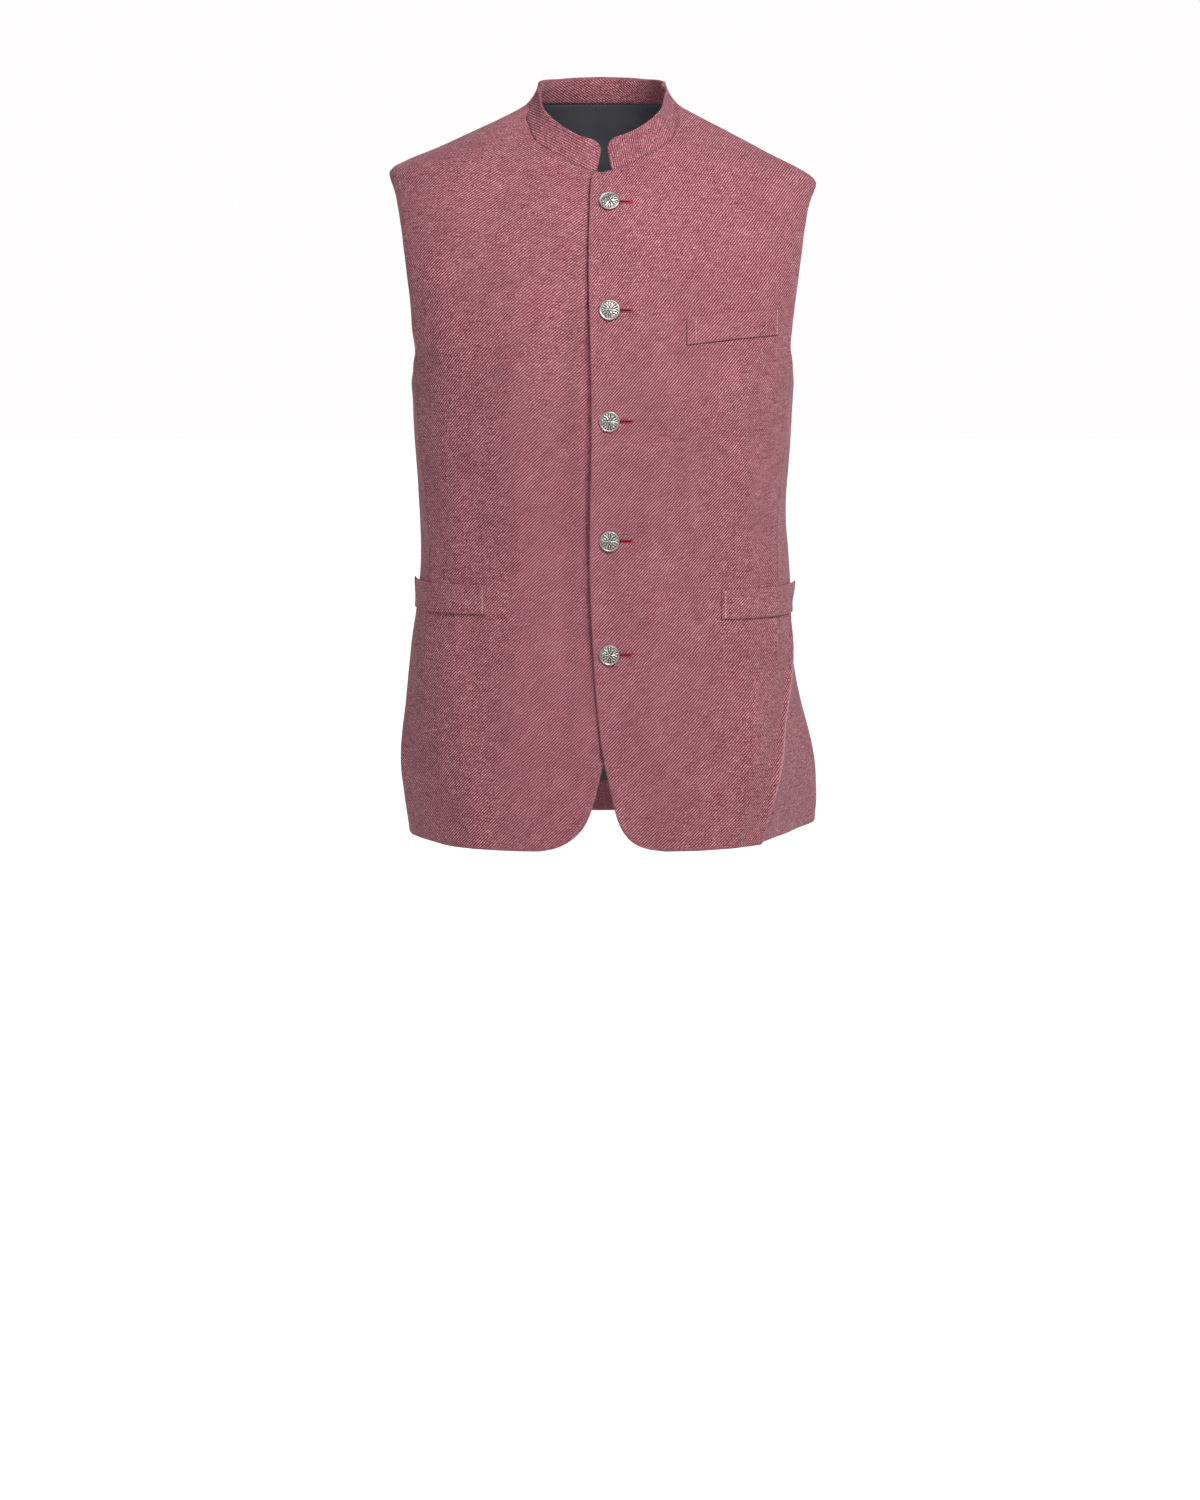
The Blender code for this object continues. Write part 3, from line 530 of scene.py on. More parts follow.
def angle_at_reach(reach, height, front):
    """The angle at which the section is reach before (or behind) the shoulder ridge."""
    def ahead(angle):
        return section_radius(angle, height) * math.cos(math.radians(angle))

    if front:
        return halved(45.0, 110.0, lambda angle: ahead(angle) > reach)
    return halved(75.0, 150.0, lambda angle: ahead(angle) > -reach)


def half_gap(angle, height):
    """Half a seam's gap, as an angle at one place of the section."""
    return math.degrees(0.5 * SEAM_GAP / section_radius(angle, height))


def spaced(places, side, count):
    """The same line of places, made count even steps long on the cloth."""
    points = [skin(side, *place) for place in places]
    run = np.cumsum([0.0] + [(b - a).length for a, b in zip(points, points[1:])])
    targets = np.linspace(0.0, run[-1], count + 1)
    return list(zip(*(np.interp(targets, run, values).tolist() for values in zip(*places))))


def side_line(front, side):
    """The side seam, then the armhole, then the shoulder seam up to the neck."""
    turn, reach = (-1.0, ARM_FRONT) if front else (1.0, ARM_BACK)
    seam = [(SIDE_SEAM_ANGLE + turn * half_gap(SIDE_SEAM_ANGLE, height), height)
            for height in evenly(HEM, UNDERARM, SEAM_LINE)]
    hole = seam[-1:] + [(angle_at_reach(reach(height), height, front), height)
                        for height in evenly(UNDERARM, SHOULDER_TIP, ARMHOLE_LINE)[1:]]
    shoulder = []
    for height in evenly(SHOULDER_TIP, NECK_SIDE, SHOULDER_LINE):
        middle = 90.0 + math.degrees(math.atan(SHOULDER_SEAM_BACK / WIDTH(height)))
        shoulder.append((middle + turn * half_gap(middle, height), height))
    return (spaced(seam, side, BOTTOM_TO_UNDERARM) + spaced(hole, side, ARMHOLE_STEPS)[1:-1]
            + spaced(shoulder, side, SHOULDER_STEPS))


def filled(left, right, bottom, top):
    """A grid of places between four border lines, relaxed until it is even."""
    left, right, bottom, top = (np.array(line, float) for line in (left, right, bottom, top))
    rows, columns = len(left), len(bottom)
    s = np.linspace(0.0, 1.0, columns)[None, :, None]
    t = np.linspace(0.0, 1.0, rows)[:, None, None]
    grid = left[:, None] * (1 - s) + right[:, None] * s + bottom[None] * (1 - t) + top[None] * t
    grid -= bottom[0] * (1 - s) * (1 - t) + bottom[-1] * s * (1 - t)
    grid -= top[0] * (1 - s) * t + top[-1] * s * t
    for _ in range(RELAX_ROUNDS):
        inner = grid[1:-1, :-2] + grid[1:-1, 2:] + grid[:-2, 1:-1] + grid[2:, 1:-1]
        grid[1:-1, 1:-1] = 0.25 * inner
    return grid


def front_places(side):
    """Grid of (angle, height) for one front: rows from the hem up, the edge first."""
    right = side_line(True, side)
    straight = evenly(CORNER_HEIGHT, NECK_HEIGHT(0.0), EDGE_LINE)
    corner = [CORNER_HEIGHT + (HEM - CORNER_HEIGHT) * math.sin(turn)
              for turn in evenly(0.0, math.pi / 2, CORNER_LINE)]
    edge, hem = ([(angle_at_x(front_edge(side, height), height), height) for height in heights]
                 for heights in (straight, corner))
    hem += [(angle, HEM) for angle in evenly(hem[-1][0], right[0][0], HEM_LINE)[1:]]
    neck = [(angle, NECK_HEIGHT(max(angle, 0.0)))
            for angle in evenly(edge[-1][0], right[-1][0], NECK_LINE)]
    right[-1] = neck[-1]
    return filled(spaced(edge, side, len(right) - 1), right,
                  spaced(hem, side, FRONT_COLUMNS), spaced(neck, side, FRONT_COLUMNS))


def half_back_places(side):
    """Grid of (angle, height) for one half of the back, the centre back first."""
    right = side_line(False, side)
    centre = [(180.0, height) for height in evenly(HEM, NECK_HEIGHT(180.0), EDGE_LINE)]
    bottom = [(angle, HEM) for angle in evenly(180.0, right[0][0], NECK_LINE)]
    top = [(angle, NECK_HEIGHT(angle)) for angle in evenly(180.0, right[-1][0], NECK_LINE)]
    right[-1] = top[-1]
    return filled(spaced(centre, 1, len(right) - 1), right,
                  spaced(bottom, side, BACK_COLUMNS), spaced(top, side, BACK_COLUMNS))


def grid_normals(points, turn):
    """Outward directions of a grid of points; turn is +1 where columns run by the left.

    Where a cell at the border is squeezed flat, the place beside it gives the direction.
    """
    across, up = np.empty_like(points), np.empty_like(points)
    across[:, 1:-1] = points[:, 2:] - points[:, :-2]
    across[:, 0], across[:, -1] = points[:, 1] - points[:, 0], points[:, -1] - points[:, -2]
    up[1:-1] = points[2:] - points[:-2]
    up[0], up[-1] = points[1] - points[0], points[-1] - points[-2]
    normals = np.cross(across, up) * turn
    normals /= np.linalg.norm(normals, axis=2)[:, :, None]
    for edge, beside in ((0, 1), (-1, -2)):
        astray = (normals[:, edge] * normals[:, beside]).sum(axis=1) < 0.5
        normals[astray, edge] = normals[astray, beside]
    return normals


def grid_cells(rows, columns, turn):
    """Row, column and corner numbers of each cell of a grid, its corners facing outward."""
    for i in range(rows - 1):
        for j in range(columns - 1):
            a = i * columns + j
            yield i, j, (a, a + 1, a + columns + 1, a + columns)[::turn]


def cell_areas(flat):
    """The area of each cell of a flat grid."""
    one, two = flat[1:, 1:] - flat[:-1, :-1], flat[1:, :-1] - flat[:-1, 1:]
    return 0.5 * abs(one[:, :, 0] * two[:, :, 1] - one[:, :, 1] * two[:, :, 0])


def spun(flat, angle):
    """Flat places turned round their origin."""
    cos, sin = math.cos(angle), math.sin(angle)
    return flat @ np.array(((cos, sin), (-sin, cos)))


def corner_points(mesh):
    """The number of the point at each face corner of a mesh."""
    numbers = np.empty(len(mesh.loops), int)
    mesh.loops.foreach_get("vertex_index", numbers)
    return numbers


def link(name, data):
    """A new object in the scene."""
    piece = bpy.data.objects.new(name, data)
    bpy.context.scene.collection.objects.link(piece)
    return piece


def flattened(points, turn):
    """Places of a grid's points on the flat cloth, in metres, upright along column 0."""
    rows, columns = points.shape[:2]
    mesh = bpy.data.meshes.new("flat pattern")
    faces = [cell for _, _, cell in grid_cells(rows, columns, turn)]
    mesh.from_pydata((points.reshape(-1, 3) * MM).tolist(), [], faces)
    mesh.uv_layers.new(name="cut")
    piece = link("flat pattern", mesh)
    for other in bpy.context.selected_objects:
        other.select_set(False)
    bpy.context.view_layer.objects.active = piece
    piece.select_set(True)
    bpy.ops.object.mode_set(mode="EDIT")
    bpy.ops.mesh.select_all(action="SELECT")
    bpy.ops.uv.unwrap(method="CONFORMAL", fill_holes=False, correct_aspect=False, margin=0.0)
    bpy.ops.object.mode_set(mode="OBJECT")
    uv = np.empty(len(mesh.loops) * 2)
    mesh.uv_layers[0].data.foreach_get("uv", uv)
    flat = np.empty((rows * columns, 2))
    flat[corner_points(mesh)] = uv.reshape(-1, 2)
    flat = flat.reshape(rows, columns, 2)
    flat *= math.sqrt(sum(face.area for face in mesh.polygons) / cell_areas(flat).sum())
    bpy.data.objects.remove(piece)
    bpy.data.meshes.remove(mesh)
    upright = flat[rows * 3 // 4, 0] - flat[rows // 8, 0]
    flat = spun(flat, math.pi / 2 - math.atan2(upright[1], upright[0]))
    return flat - flat[rows // 2, 0]


def cloth_shell(name, points, turn, thickness, rolls, flat, inside, materials):
    """A closed cloth shell: outer face, rolled edges and inner face.

    rolls(i, j) is how far the edge is rounded at a border place, and inside(i, j) is
    the material's number on the inner face of one cell. flat holds the cloth's places.
    """
    rows, columns = points.shape[:2]
    normals = grid_normals(points, turn)
    border = [(0, j) for j in range(columns)]
    border += [(i, columns - 1) for i in range(1, rows)]
    border += [(rows - 1, j) for j in range(columns - 2, -1, -1)]
    border += [(i, 0) for i in range(rows - 2, 0, -1)]
    count = len(border)
    outer = points.copy()
    rings, ring_places = ([[] for _ in EDGE_TURNS] for _ in range(2))
    for k, (i, j) in enumerate(border):
        before, after = border[k - 1], border[(k + 1) % count]
        edge = np.cross(points[after] - points[before], normals[i, j]) * turn
        edge *= rolls(i, j) / np.linalg.norm(edge)
        outer[i, j] -= edge
        run = flat[after] - flat[before]
        out = np.array((run[1], -run[0])) * turn
        out *= thickness * EDGE_CLOTH * MM / max(np.linalg.norm(out), 1e-9)
        for ring, places, turned in zip(rings, ring_places, EDGE_TURNS):
            sunk = normals[i, j] * (1.0 - math.cos(math.pi * turned)) * thickness / 2
            ring.append(outer[i, j] - sunk + edge * math.sin(math.pi * turned))
            places.append(flat[i, j] + out * turned)
    inner = outer - normals * thickness
    vertices = np.concatenate([outer.reshape(-1, 3), inner.reshape(-1, 3), *rings])
    places = np.concatenate([flat.reshape(-1, 2), flat.reshape(-1, 2), *ring_places])
    cells = rows * columns
    faces, slots = [], []
    for i, j, cell in grid_cells(rows, columns, turn):
        faces += [cell, tuple(cells + n for n in reversed(cell))]
        slots += [0, inside(i, j)]
    number = [i * columns + j for i, j in border]
    loops = [range(2 * cells + r * count, 2 * cells + (r + 1) * count) for r in range(len(rings))]
    loops = [number, *loops, [cells + n for n in number]]
    for a, b in zip(loops, loops[1:]):
        for k in range(count):
            m = (k + 1) % count
            faces.append((a[k], b[k], b[m], a[m])[::turn])
            slots.append(0)
    mesh = bpy.data.meshes.new(name)
    mesh.from_pydata((vertices * MM).tolist(), [], faces)
    mesh.polygons.foreach_set("material_index", slots)
    layer = mesh.uv_layers.new(name="cloth")
    layer.data.foreach_set("uv", places[corner_points(mesh)].ravel())
    mesh.shade_smooth()
    for material in materials:
        mesh.materials.append(material)
    return link(name, mesh)


def add_marks(piece, names_and_values):
    """Stores numbers on a shell's points: the outer grid's, the same inside, then the rim's."""
    mesh = piece.data
    for name, values in names_and_values.items():
        flat = np.concatenate([values.ravel(), values.ravel()])
        rim = np.zeros(len(mesh.vertices) - len(flat))
        layer = mesh.attributes.new(name, "FLOAT", "POINT")
        layer.data.foreach_set("value", np.concatenate([flat, rim]))


def body_points(places, side):
    """Outer points of a panel, from its grid of places."""
    return np.array([[skin(side, angle, height) for angle, height in row] for row in places.tolist()])


def edge_rolls(columns, front):
    """How far each border place is rounded: seams little, turned edges more."""
    underarm = BOTTOM_TO_UNDERARM
    shoulder = BOTTOM_TO_UNDERARM + ARMHOLE_STEPS
    top = shoulder + SHOULDER_STEPS

    def roll(i, j):
        on_side = j == columns - 1 or (j == 0 and not front)
        if i == top:
            return NECK_SEAM_EDGE
        if on_side:
            into_armhole = max(min(i - underarm, shoulder - i), 0)
            return min(SEAM_EDGE + ARMHOLE_EDGE_STEP * into_armhole, TURNED_EDGE)
        return TURNED_EDGE

    return roll


def make_front(name, side, materials):
    """One front, with a twill facing behind its edge and hem and lining elsewhere."""
    places = front_places(side)
    angle, height = places[:, :, 0], places[:, :, 1]
    points = body_points(places, side)
    from_edge = (angle - angle[:, :1]) * MM_PER_DEGREE
    if side > 0:
        lifts = np.vectorize(lap_lift)(points[:, :, 0])
        wave = np.vectorize(lambda h: noise.noise((3.7, h / EDGE_WAVE_LENGTH, 0.5)))(height)
        lifts += EDGE_CURL * (1.0 + wave) * np.exp(-(from_edge / EDGE_CURL_REACH) ** 2)
        points = points + grid_normals(points, side) * lifts[:, :, None]
    flat = flattened(points, side)
    lined = (from_edge > FACING_WIDTH) & (height > HEM + HEM_TURN_UP)
    piece = cloth_shell(f"{name}_cloth", points, side, BODY_WALL, edge_rolls(points.shape[1], True),
                        flat, lambda i, j: int(lined[i, j]), materials)
    shown = np.vectorize(lambda h: smooth(DART_END, DART_END + DART_FADE, h)
                         * (1.0 - smooth(DART_TOP, DART_TOP + DART_TOP_FADE, h)))(height)
    # The line of the left skirt's crest, where a painted highlight makes the cloth paler, fading at
    # both ends.
    along = (height - PAINTED_CREST_HIGHLIGHT.height_a) / (PAINTED_CREST_HIGHLIGHT.height_b - PAINTED_CREST_HIGHLIGHT.height_a)
    crest = PAINTED_CREST_HIGHLIGHT.angle_a + (PAINTED_CREST_HIGHLIGHT.angle_b - PAINTED_CREST_HIGHLIGHT.angle_a) * along
    crest_highlight_fade = np.vectorize(lambda t: smooth(-0.05, 0.2, t) * smooth(-0.05, 0.35, 1.0 - t))(along)
    add_marks(piece, {
        "dart_offset": (angle - np.vectorize(DART_LINE)(height)) * MM_PER_DEGREE,
        "dart_shown": shown,
        "crest_highlight_offset": (angle - crest) * MM_PER_DEGREE,
        "crest_highlight_shown": crest_highlight_fade * (side == PAINTED_CREST_HIGHLIGHT.side)})
    return piece, flat


def make_back(materials):
    """The back, cut in one piece, with its hem turned up in the twill."""
    right, left = half_back_places(-1), half_back_places(1)
    points = np.concatenate([body_points(right, -1)[:, ::-1], body_points(left, 1)[:, 1:]], axis=1)
    heights = np.concatenate([right[:, ::-1, 1], left[:, 1:, 1]], axis=1)
    flat = flattened(points, -1)
    return cloth_shell("back_cloth", points, -1, BODY_WALL, edge_rolls(points.shape[1], False), flat,
                       lambda i, j: int(heights[i, j] > HEM + HEM_TURN_UP), materials), flat


def collar_half(side):
    """Columns of collar points from the front end round to the middle of the back."""
    pit = NECK_HEIGHT(0.0)
    base_x = COLLAR_END_BASE + side * COLLAR_GAP_X
    top_x = COLLAR_END_TOP + side * COLLAR_GAP_X
    start = angle_at_x(base_x, pit)
    bend = angle_at_x(base_x + COLLAR_CORNER, pit)
    angles = [start + (bend - start) * (1.0 - math.cos(turn))
              for turn in evenly(0.0, math.pi / 2, COLLAR_CORNER_COLUMNS)[:-1]]
    angles += np.linspace(bend, 180.0, COLLAR_COLUMNS).tolist()
    slip = math.degrees((base_x - top_x) / section_radius(start, pit))
    columns = []
    for angle in angles:
        into = min((angle - start) / (bend - start), 1.0)
        corner = COLLAR_CORNER * (1.0 - math.sqrt(1.0 - (1.0 - into) ** 2))
        rise = COLLAR_RISE(angle) - corner
        swing = slip * (1.0 - smooth(start, start + COLLAR_SLIP_REACH, angle))
        height = NECK_HEIGHT(max(angle, 0.0))
        normal = skin_normal(side, angle, height)
        column = []
        for t in evenly(0.0, 1.0, COLLAR_ROWS):
            foot = skin(side, angle - swing * t, height)
            out = Vector((foot.x, foot.y - RIDGE_Y, 0.0)).normalized()
            lift = lap_lift(foot.x) if side > 0 and angle < 90.0 else 0.0
            inward = COLLAR_LEAN(angle) * (1.0 - (1.0 - t) ** COLLAR_BEND)
            point = foot + normal * lift - out * inward + Vector((0.0, 0.0, SEAM_GAP + rise * t))
            ripple = noise.noise(point / COLLAR_RIPPLE_LENGTH) * COLLAR_RIPPLE * t
            column.append(point + out * ripple)
        columns.append(column)
    return columns


def make_collar(materials):
    """The stand collar, cut on the bias so that its ribs lie along the band."""
    columns = collar_half(-1) + collar_half(1)[::-1][1:]
    points = np.array(columns).transpose(1, 0, 2)
    flat = flattened(points, -1)
    return cloth_shell("collar_cloth", points, -1, COLLAR_WALL,
                       lambda i, j: NECK_SEAM_EDGE if i == 0 else COLLAR_WALL / 2,
                       spun(flat, math.radians(COLLAR_BIAS)), lambda i, j: 0, materials), flat


def welt_points(side, spot):
    """A welt's outer points on its front: spot(s, t) is an angle, a height and a lift."""
    rows = []
    for t in evenly(0.0, 1.0, WELT_ROWS):
        row = []
        for s in evenly(0.0, 1.0, WELT_COLUMNS):
            angle, height, lift = spot(s, t)
            out = skin_normal(side, angle, height) * (WELT_GAP + WELT_WALL + lift)
            row.append(skin(side, angle, height) + out)
        rows.append(row)
    return np.array(rows)


def side_welt_points(welt):
    """A lower welt, which gapes at its outer top corner."""
    def spot(s, t):
        height = welt.top - welt.height * (1.0 - t)
        first = angle_at_x(welt.inner_x, height)
        angle = first + (WELT_OUTER_ANGLE - first) * s
        gape = smooth(WELT_OUTER_ANGLE - WELT_GAPE_REACH, WELT_OUTER_ANGLE, angle)
        return angle, height, gape * WELT_GAPE * smooth(0.0, 1.0, t)

    return welt_points(welt.side, spot)


def chest_welt_points():
    """The slanted welt on the wearer's left chest."""
    def spot(s, t):
        x = CHEST_WELT_INNER_X + (CHEST_WELT_OUTER_X - CHEST_WELT_INNER_X) * s
        top = CHEST_WELT_INNER_TOP + (CHEST_WELT_OUTER_TOP - CHEST_WELT_INNER_TOP) * s
        height = top - CHEST_WELT_HEIGHT * (1.0 - t)
        return angle_at_x(x, height), height, 0.0

    return welt_points(1, spot)


def make_welt(name, points, side, materials):
    """A welt of any of the pockets."""
    flat = flattened(points, side)
    return cloth_shell(f"{name}_cloth", points, side, WELT_WALL, lambda i, j: WELT_EDGE, flat,
                       lambda i, j: 0, materials), flat


def turn_to(point, normal):
    """Placement whose Z is the normal and whose X runs level to the wearer's left."""
    level = Vector((0.0, 0.0, 1.0)).cross(normal).normalized()
    up = normal.cross(level)
    placement = Matrix((level, up, normal)).transposed().to_4x4()
    placement.translation = point
    return placement


def ring_of_leaves(radius, turn, ring):
    """How much a ring of leaves stands up at one place of the button, from 0 to 1."""
    beat = ring.count * turn / 2 + ring.offset
    along = (radius - ring.inner) / (ring.outer - ring.inner)
    if not 0.0 < along < 1.0:
        return 0.0
    half = math.sin(math.pi * min(along ** 0.8, 1.0)) ** 0.6
    across = abs(math.sin(beat)) / max(half * LEAF_FILL, 0.05)
    blade = 1.0 - smooth(0.75, 1.05, across)
    vein = 1.0 - 0.45 * (1.0 - smooth(0.05, 0.2, across))
    return blade * vein


def button_height(radius, turn):
    """Height of the button's face, and how deep a hollow it is there (0 to 1)."""
    raised = max(ring_of_leaves(radius, turn, ring) for ring in LEAF_RINGS)
    raised = max(raised, 1.0 - smooth(EYE_RADIUS - 0.4, EYE_RADIUS + 0.2, radius))
    on_face = 1.0 - smooth(FACE_RADIUS - 0.3, FACE_RADIUS + 0.3, radius)
    return BUTTON_FACE(radius) + BUTTON_RELIEF * raised * on_face, (1.0 - raised) * on_face


def make_button(name, height, material):
    """A turned shank button with a raised rim and a plain rosette of leaves."""
    cloth, normal = over_front_point(angle_at_x(BUTTON_X, height), height)
    place = turn_to(cloth + normal * BUTTON_LIFT, normal)
    shank_end = -(BUTTON_LIFT + BODY_WALL + OVERLAP_GAP - 2 * SEAM_GAP)
    turns = evenly(0.0, math.tau, BUTTON_STEPS)[:-1]
    lines = [(SHANK_RADIUS, shank_end, 1.0), (SHANK_RADIUS, -0.1, 1.0)]
    lines += [(*row, 0.3) for row in BUTTON_EDGE]
    rings = [[line] * BUTTON_STEPS for line in lines]
    for radius in evenly(BUTTON_EDGE[-1].radius, 0.0, BUTTON_RINGS)[1:-1]:
        rings.append([(radius, *button_height(radius, turn)) for turn in turns])
    vertices, hollows = [], []
    for ring in rings:
        for turn, (radius, rise, hollow) in zip(turns, ring):
            vertices.append((radius * math.cos(turn), radius * math.sin(turn), rise))
            hollows.append(hollow)
    last = len(vertices) - BUTTON_STEPS
    bottom, top = len(vertices), len(vertices) + 1
    vertices += [(0.0, 0.0, shank_end), (0.0, 0.0, button_height(0.0, 0.0)[0])]
    hollows += [1.0, 0.0]
    faces = []
    for k in range(BUTTON_STEPS):
        m = (k + 1) % BUTTON_STEPS
        faces += [(bottom, m, k), (top, last + k, last + m)]
        for a in range(0, last, BUTTON_STEPS):
            b = a + BUTTON_STEPS
            faces.append((a + k, a + m, b + m, b + k))
    mesh = bpy.data.meshes.new(name)
    mesh.from_pydata([place @ Vector(v) * MM for v in vertices], [], faces)
    mesh.attributes.new("hollow", "FLOAT", "POINT").data.foreach_set("value", hollows)
    mesh.shade_smooth()
    mesh.materials.append(material)
    return link(name, mesh)


def cut_buttonholes(front):
    """Cuts the level slits through the over front, from each shank outward."""
    maker = bmesh.new()
    half = HOLE_WIDTH / 2
    for height in BUTTON_HEIGHTS:
        cloth, normal = over_front_point(angle_at_x(BUTTON_X, height), height)
        place = turn_to(cloth, normal)
        outline = []
        for centre, start in ((0.0, math.pi / 2), (HOLE_LENGTH - HOLE_WIDTH, -math.pi / 2)):
            for turn in evenly(start, start + math.pi, HOLE_END_STEPS):
                outline.append((centre + half * math.cos(turn), half * math.sin(turn)))
        floor = [maker.verts.new(place @ Vector((x, y, -HOLE_CUT_DEPTH)) * MM) for x, y in outline]
        ceiling = [maker.verts.new(place @ Vector((x, y, HOLE_CUT_DEPTH)) * MM) for x, y in outline]
        maker.faces.new(floor[::-1])
        maker.faces.new(ceiling)
        for k in range(len(outline)):
            m = (k + 1) % len(outline)
            maker.faces.new((floor[k], floor[m], ceiling[m], ceiling[k]))
    bmesh.ops.recalc_face_normals(maker, faces=maker.faces)
    mesh = bpy.data.meshes.new("buttonhole cutter")
    maker.to_mesh(mesh)
    maker.free()
    cutter = link("buttonhole cutter", mesh)
    cut = front.modifiers.new("buttonholes", "BOOLEAN")
    cut.operation = "DIFFERENCE"
    cut.solver = "EXACT"
    cut.object = cutter
    apply_modifiers(front)
    bpy.data.objects.remove(cutter)
    bpy.data.meshes.remove(mesh)


def apply_modifiers(piece):
    """Keeps what a piece's modifiers make as its plain mesh."""
    depsgraph = bpy.context.evaluated_depsgraph_get()
    mesh = bpy.data.meshes.new_from_object(piece.evaluated_get(depsgraph),
                                           preserve_all_data_layers=True, depsgraph=depsgraph)
    old = piece.data
    piece.modifiers.clear()
    piece.data = mesh
    bpy.data.meshes.remove(old)


class Value:
    """A number, colour or vector that varies: one output of a node, with operators."""

    def __init__(self, graph, socket):
        self.graph = graph
        self.socket = socket

    def also(self, output):
        """Another output of the same node."""
        return Value(self.graph, self.socket.node.outputs[output])

    def math(self, operation, other=None):
        inputs = {0: self} if other is None else {0: self, 1: other}
        return self.graph.node("ShaderNodeMath", {"operation": operation}, inputs)

    def __add__(self, other):
        return self.math("ADD", other)

    def __mul__(self, other):
        return self.math("MULTIPLY", other)

    def __sub__(self, other):
        return self.math("SUBTRACT", other)

    def __rsub__(self, other):
        return self.graph.node("ShaderNodeMath", {"operation": "SUBTRACT"}, {0: other, 1: self})

    __radd__ = __add__
    __rmul__ = __mul__

    def floor(self):
        return self.math("FLOOR")

    def fraction(self):
        return self.math("FRACT")

    def below(self, other):
        return self.math("LESS_THAN", other)

    def above(self, other):
        return self.math("GREATER_THAN", other)


class Graph:
    """One node tree, to which nodes are added by kind, settings and inputs."""

    def __init__(self, tree):
        self.tree = tree

    def node(self, kind, settings=None, inputs=None, output=0):
        """Adds a node: its settings first, then a value or a link for each input named."""
        made = self.tree.nodes.new(kind)
        for key, value in (settings or {}).items():
            setattr(made, key, value)
        for key, value in (inputs or {}).items():
            if isinstance(value, Value):
                self.tree.links.new(value.socket, made.inputs[key])
            else:
                made.inputs[key].default_value = value
        return Value(self, made.outputs[output]) if made.outputs else None

    def blend(self, factor, low, high):
        """A colour between two colours."""
        return self.node("ShaderNodeMix", {"data_type": "RGBA"}, {0: factor, 6: low, 7: high}, 2)

    def choose(self, factor, low, high):
        """A number between two numbers."""
        return self.node("ShaderNodeMix", {"data_type": "FLOAT"}, {0: factor, 2: low, 3: high})

    def vector(self, x, y, z=0.0):
        return self.node("ShaderNodeCombineXYZ", None, {0: x, 1: y, 2: z})

    def noise(self, place, scale, detail=2.0, dimensions="3D"):
        return self.node("ShaderNodeTexNoise", {"noise_dimensions": dimensions},
                         {"Vector": place, "Scale": scale, "Detail": detail})

    def chance(self, x, y=None):
        """A random number of its own for each whole x, or each whole x and y."""
        kind = "ShaderNodeTexWhiteNoise"
        if y is None:
            return self.node(kind, {"noise_dimensions": "1D"}, {"W": x})
        return self.node(kind, {"noise_dimensions": "2D"}, {"Vector": self.vector(x, y)})

    def mark(self, name):
        """A number stored on a mesh's points."""
        return self.node("ShaderNodeAttribute", {"attribute_name": name}, None, "Fac")

    def marked_line(self, name, width):
        """1 in the middle of a line marked on the cloth, fading over its width."""
        offset = self.mark(f"{name}_offset")
        fade = (0.0 - (offset * offset) * (1.0 / width ** 2)).math("EXPONENT")
        return fade * self.mark(f"{name}_shown")

    def spread(self, value, low, high, to_low=0.0, to_high=1.0):
        """Maps low..high onto to_low..to_high, with nothing outside."""
        return self.node("ShaderNodeMapRange", {"clamp": True},
                         {0: value, 1: low, 2: high, 3: to_low, 4: to_high})

    def bump(self, height, strength, distance, normal=None):
        inputs = {"Height": height, "Strength": strength, "Distance": distance}
        if normal:
            inputs["Normal"] = normal
        return self.node("ShaderNodeBump", None, inputs)


def new_material(name):
    """An empty material with its graph."""
    material = bpy.data.materials.new(name)
    material.use_nodes = True
    material.node_tree.nodes.clear()
    return material, Graph(material.node_tree)


def finish_material(graph, inputs):
    """Closes a material with one Principled surface."""
    surface = graph.node("ShaderNodeBsdfPrincipled", None, inputs)
    graph.node("ShaderNodeOutputMaterial", None, {"Surface": surface})


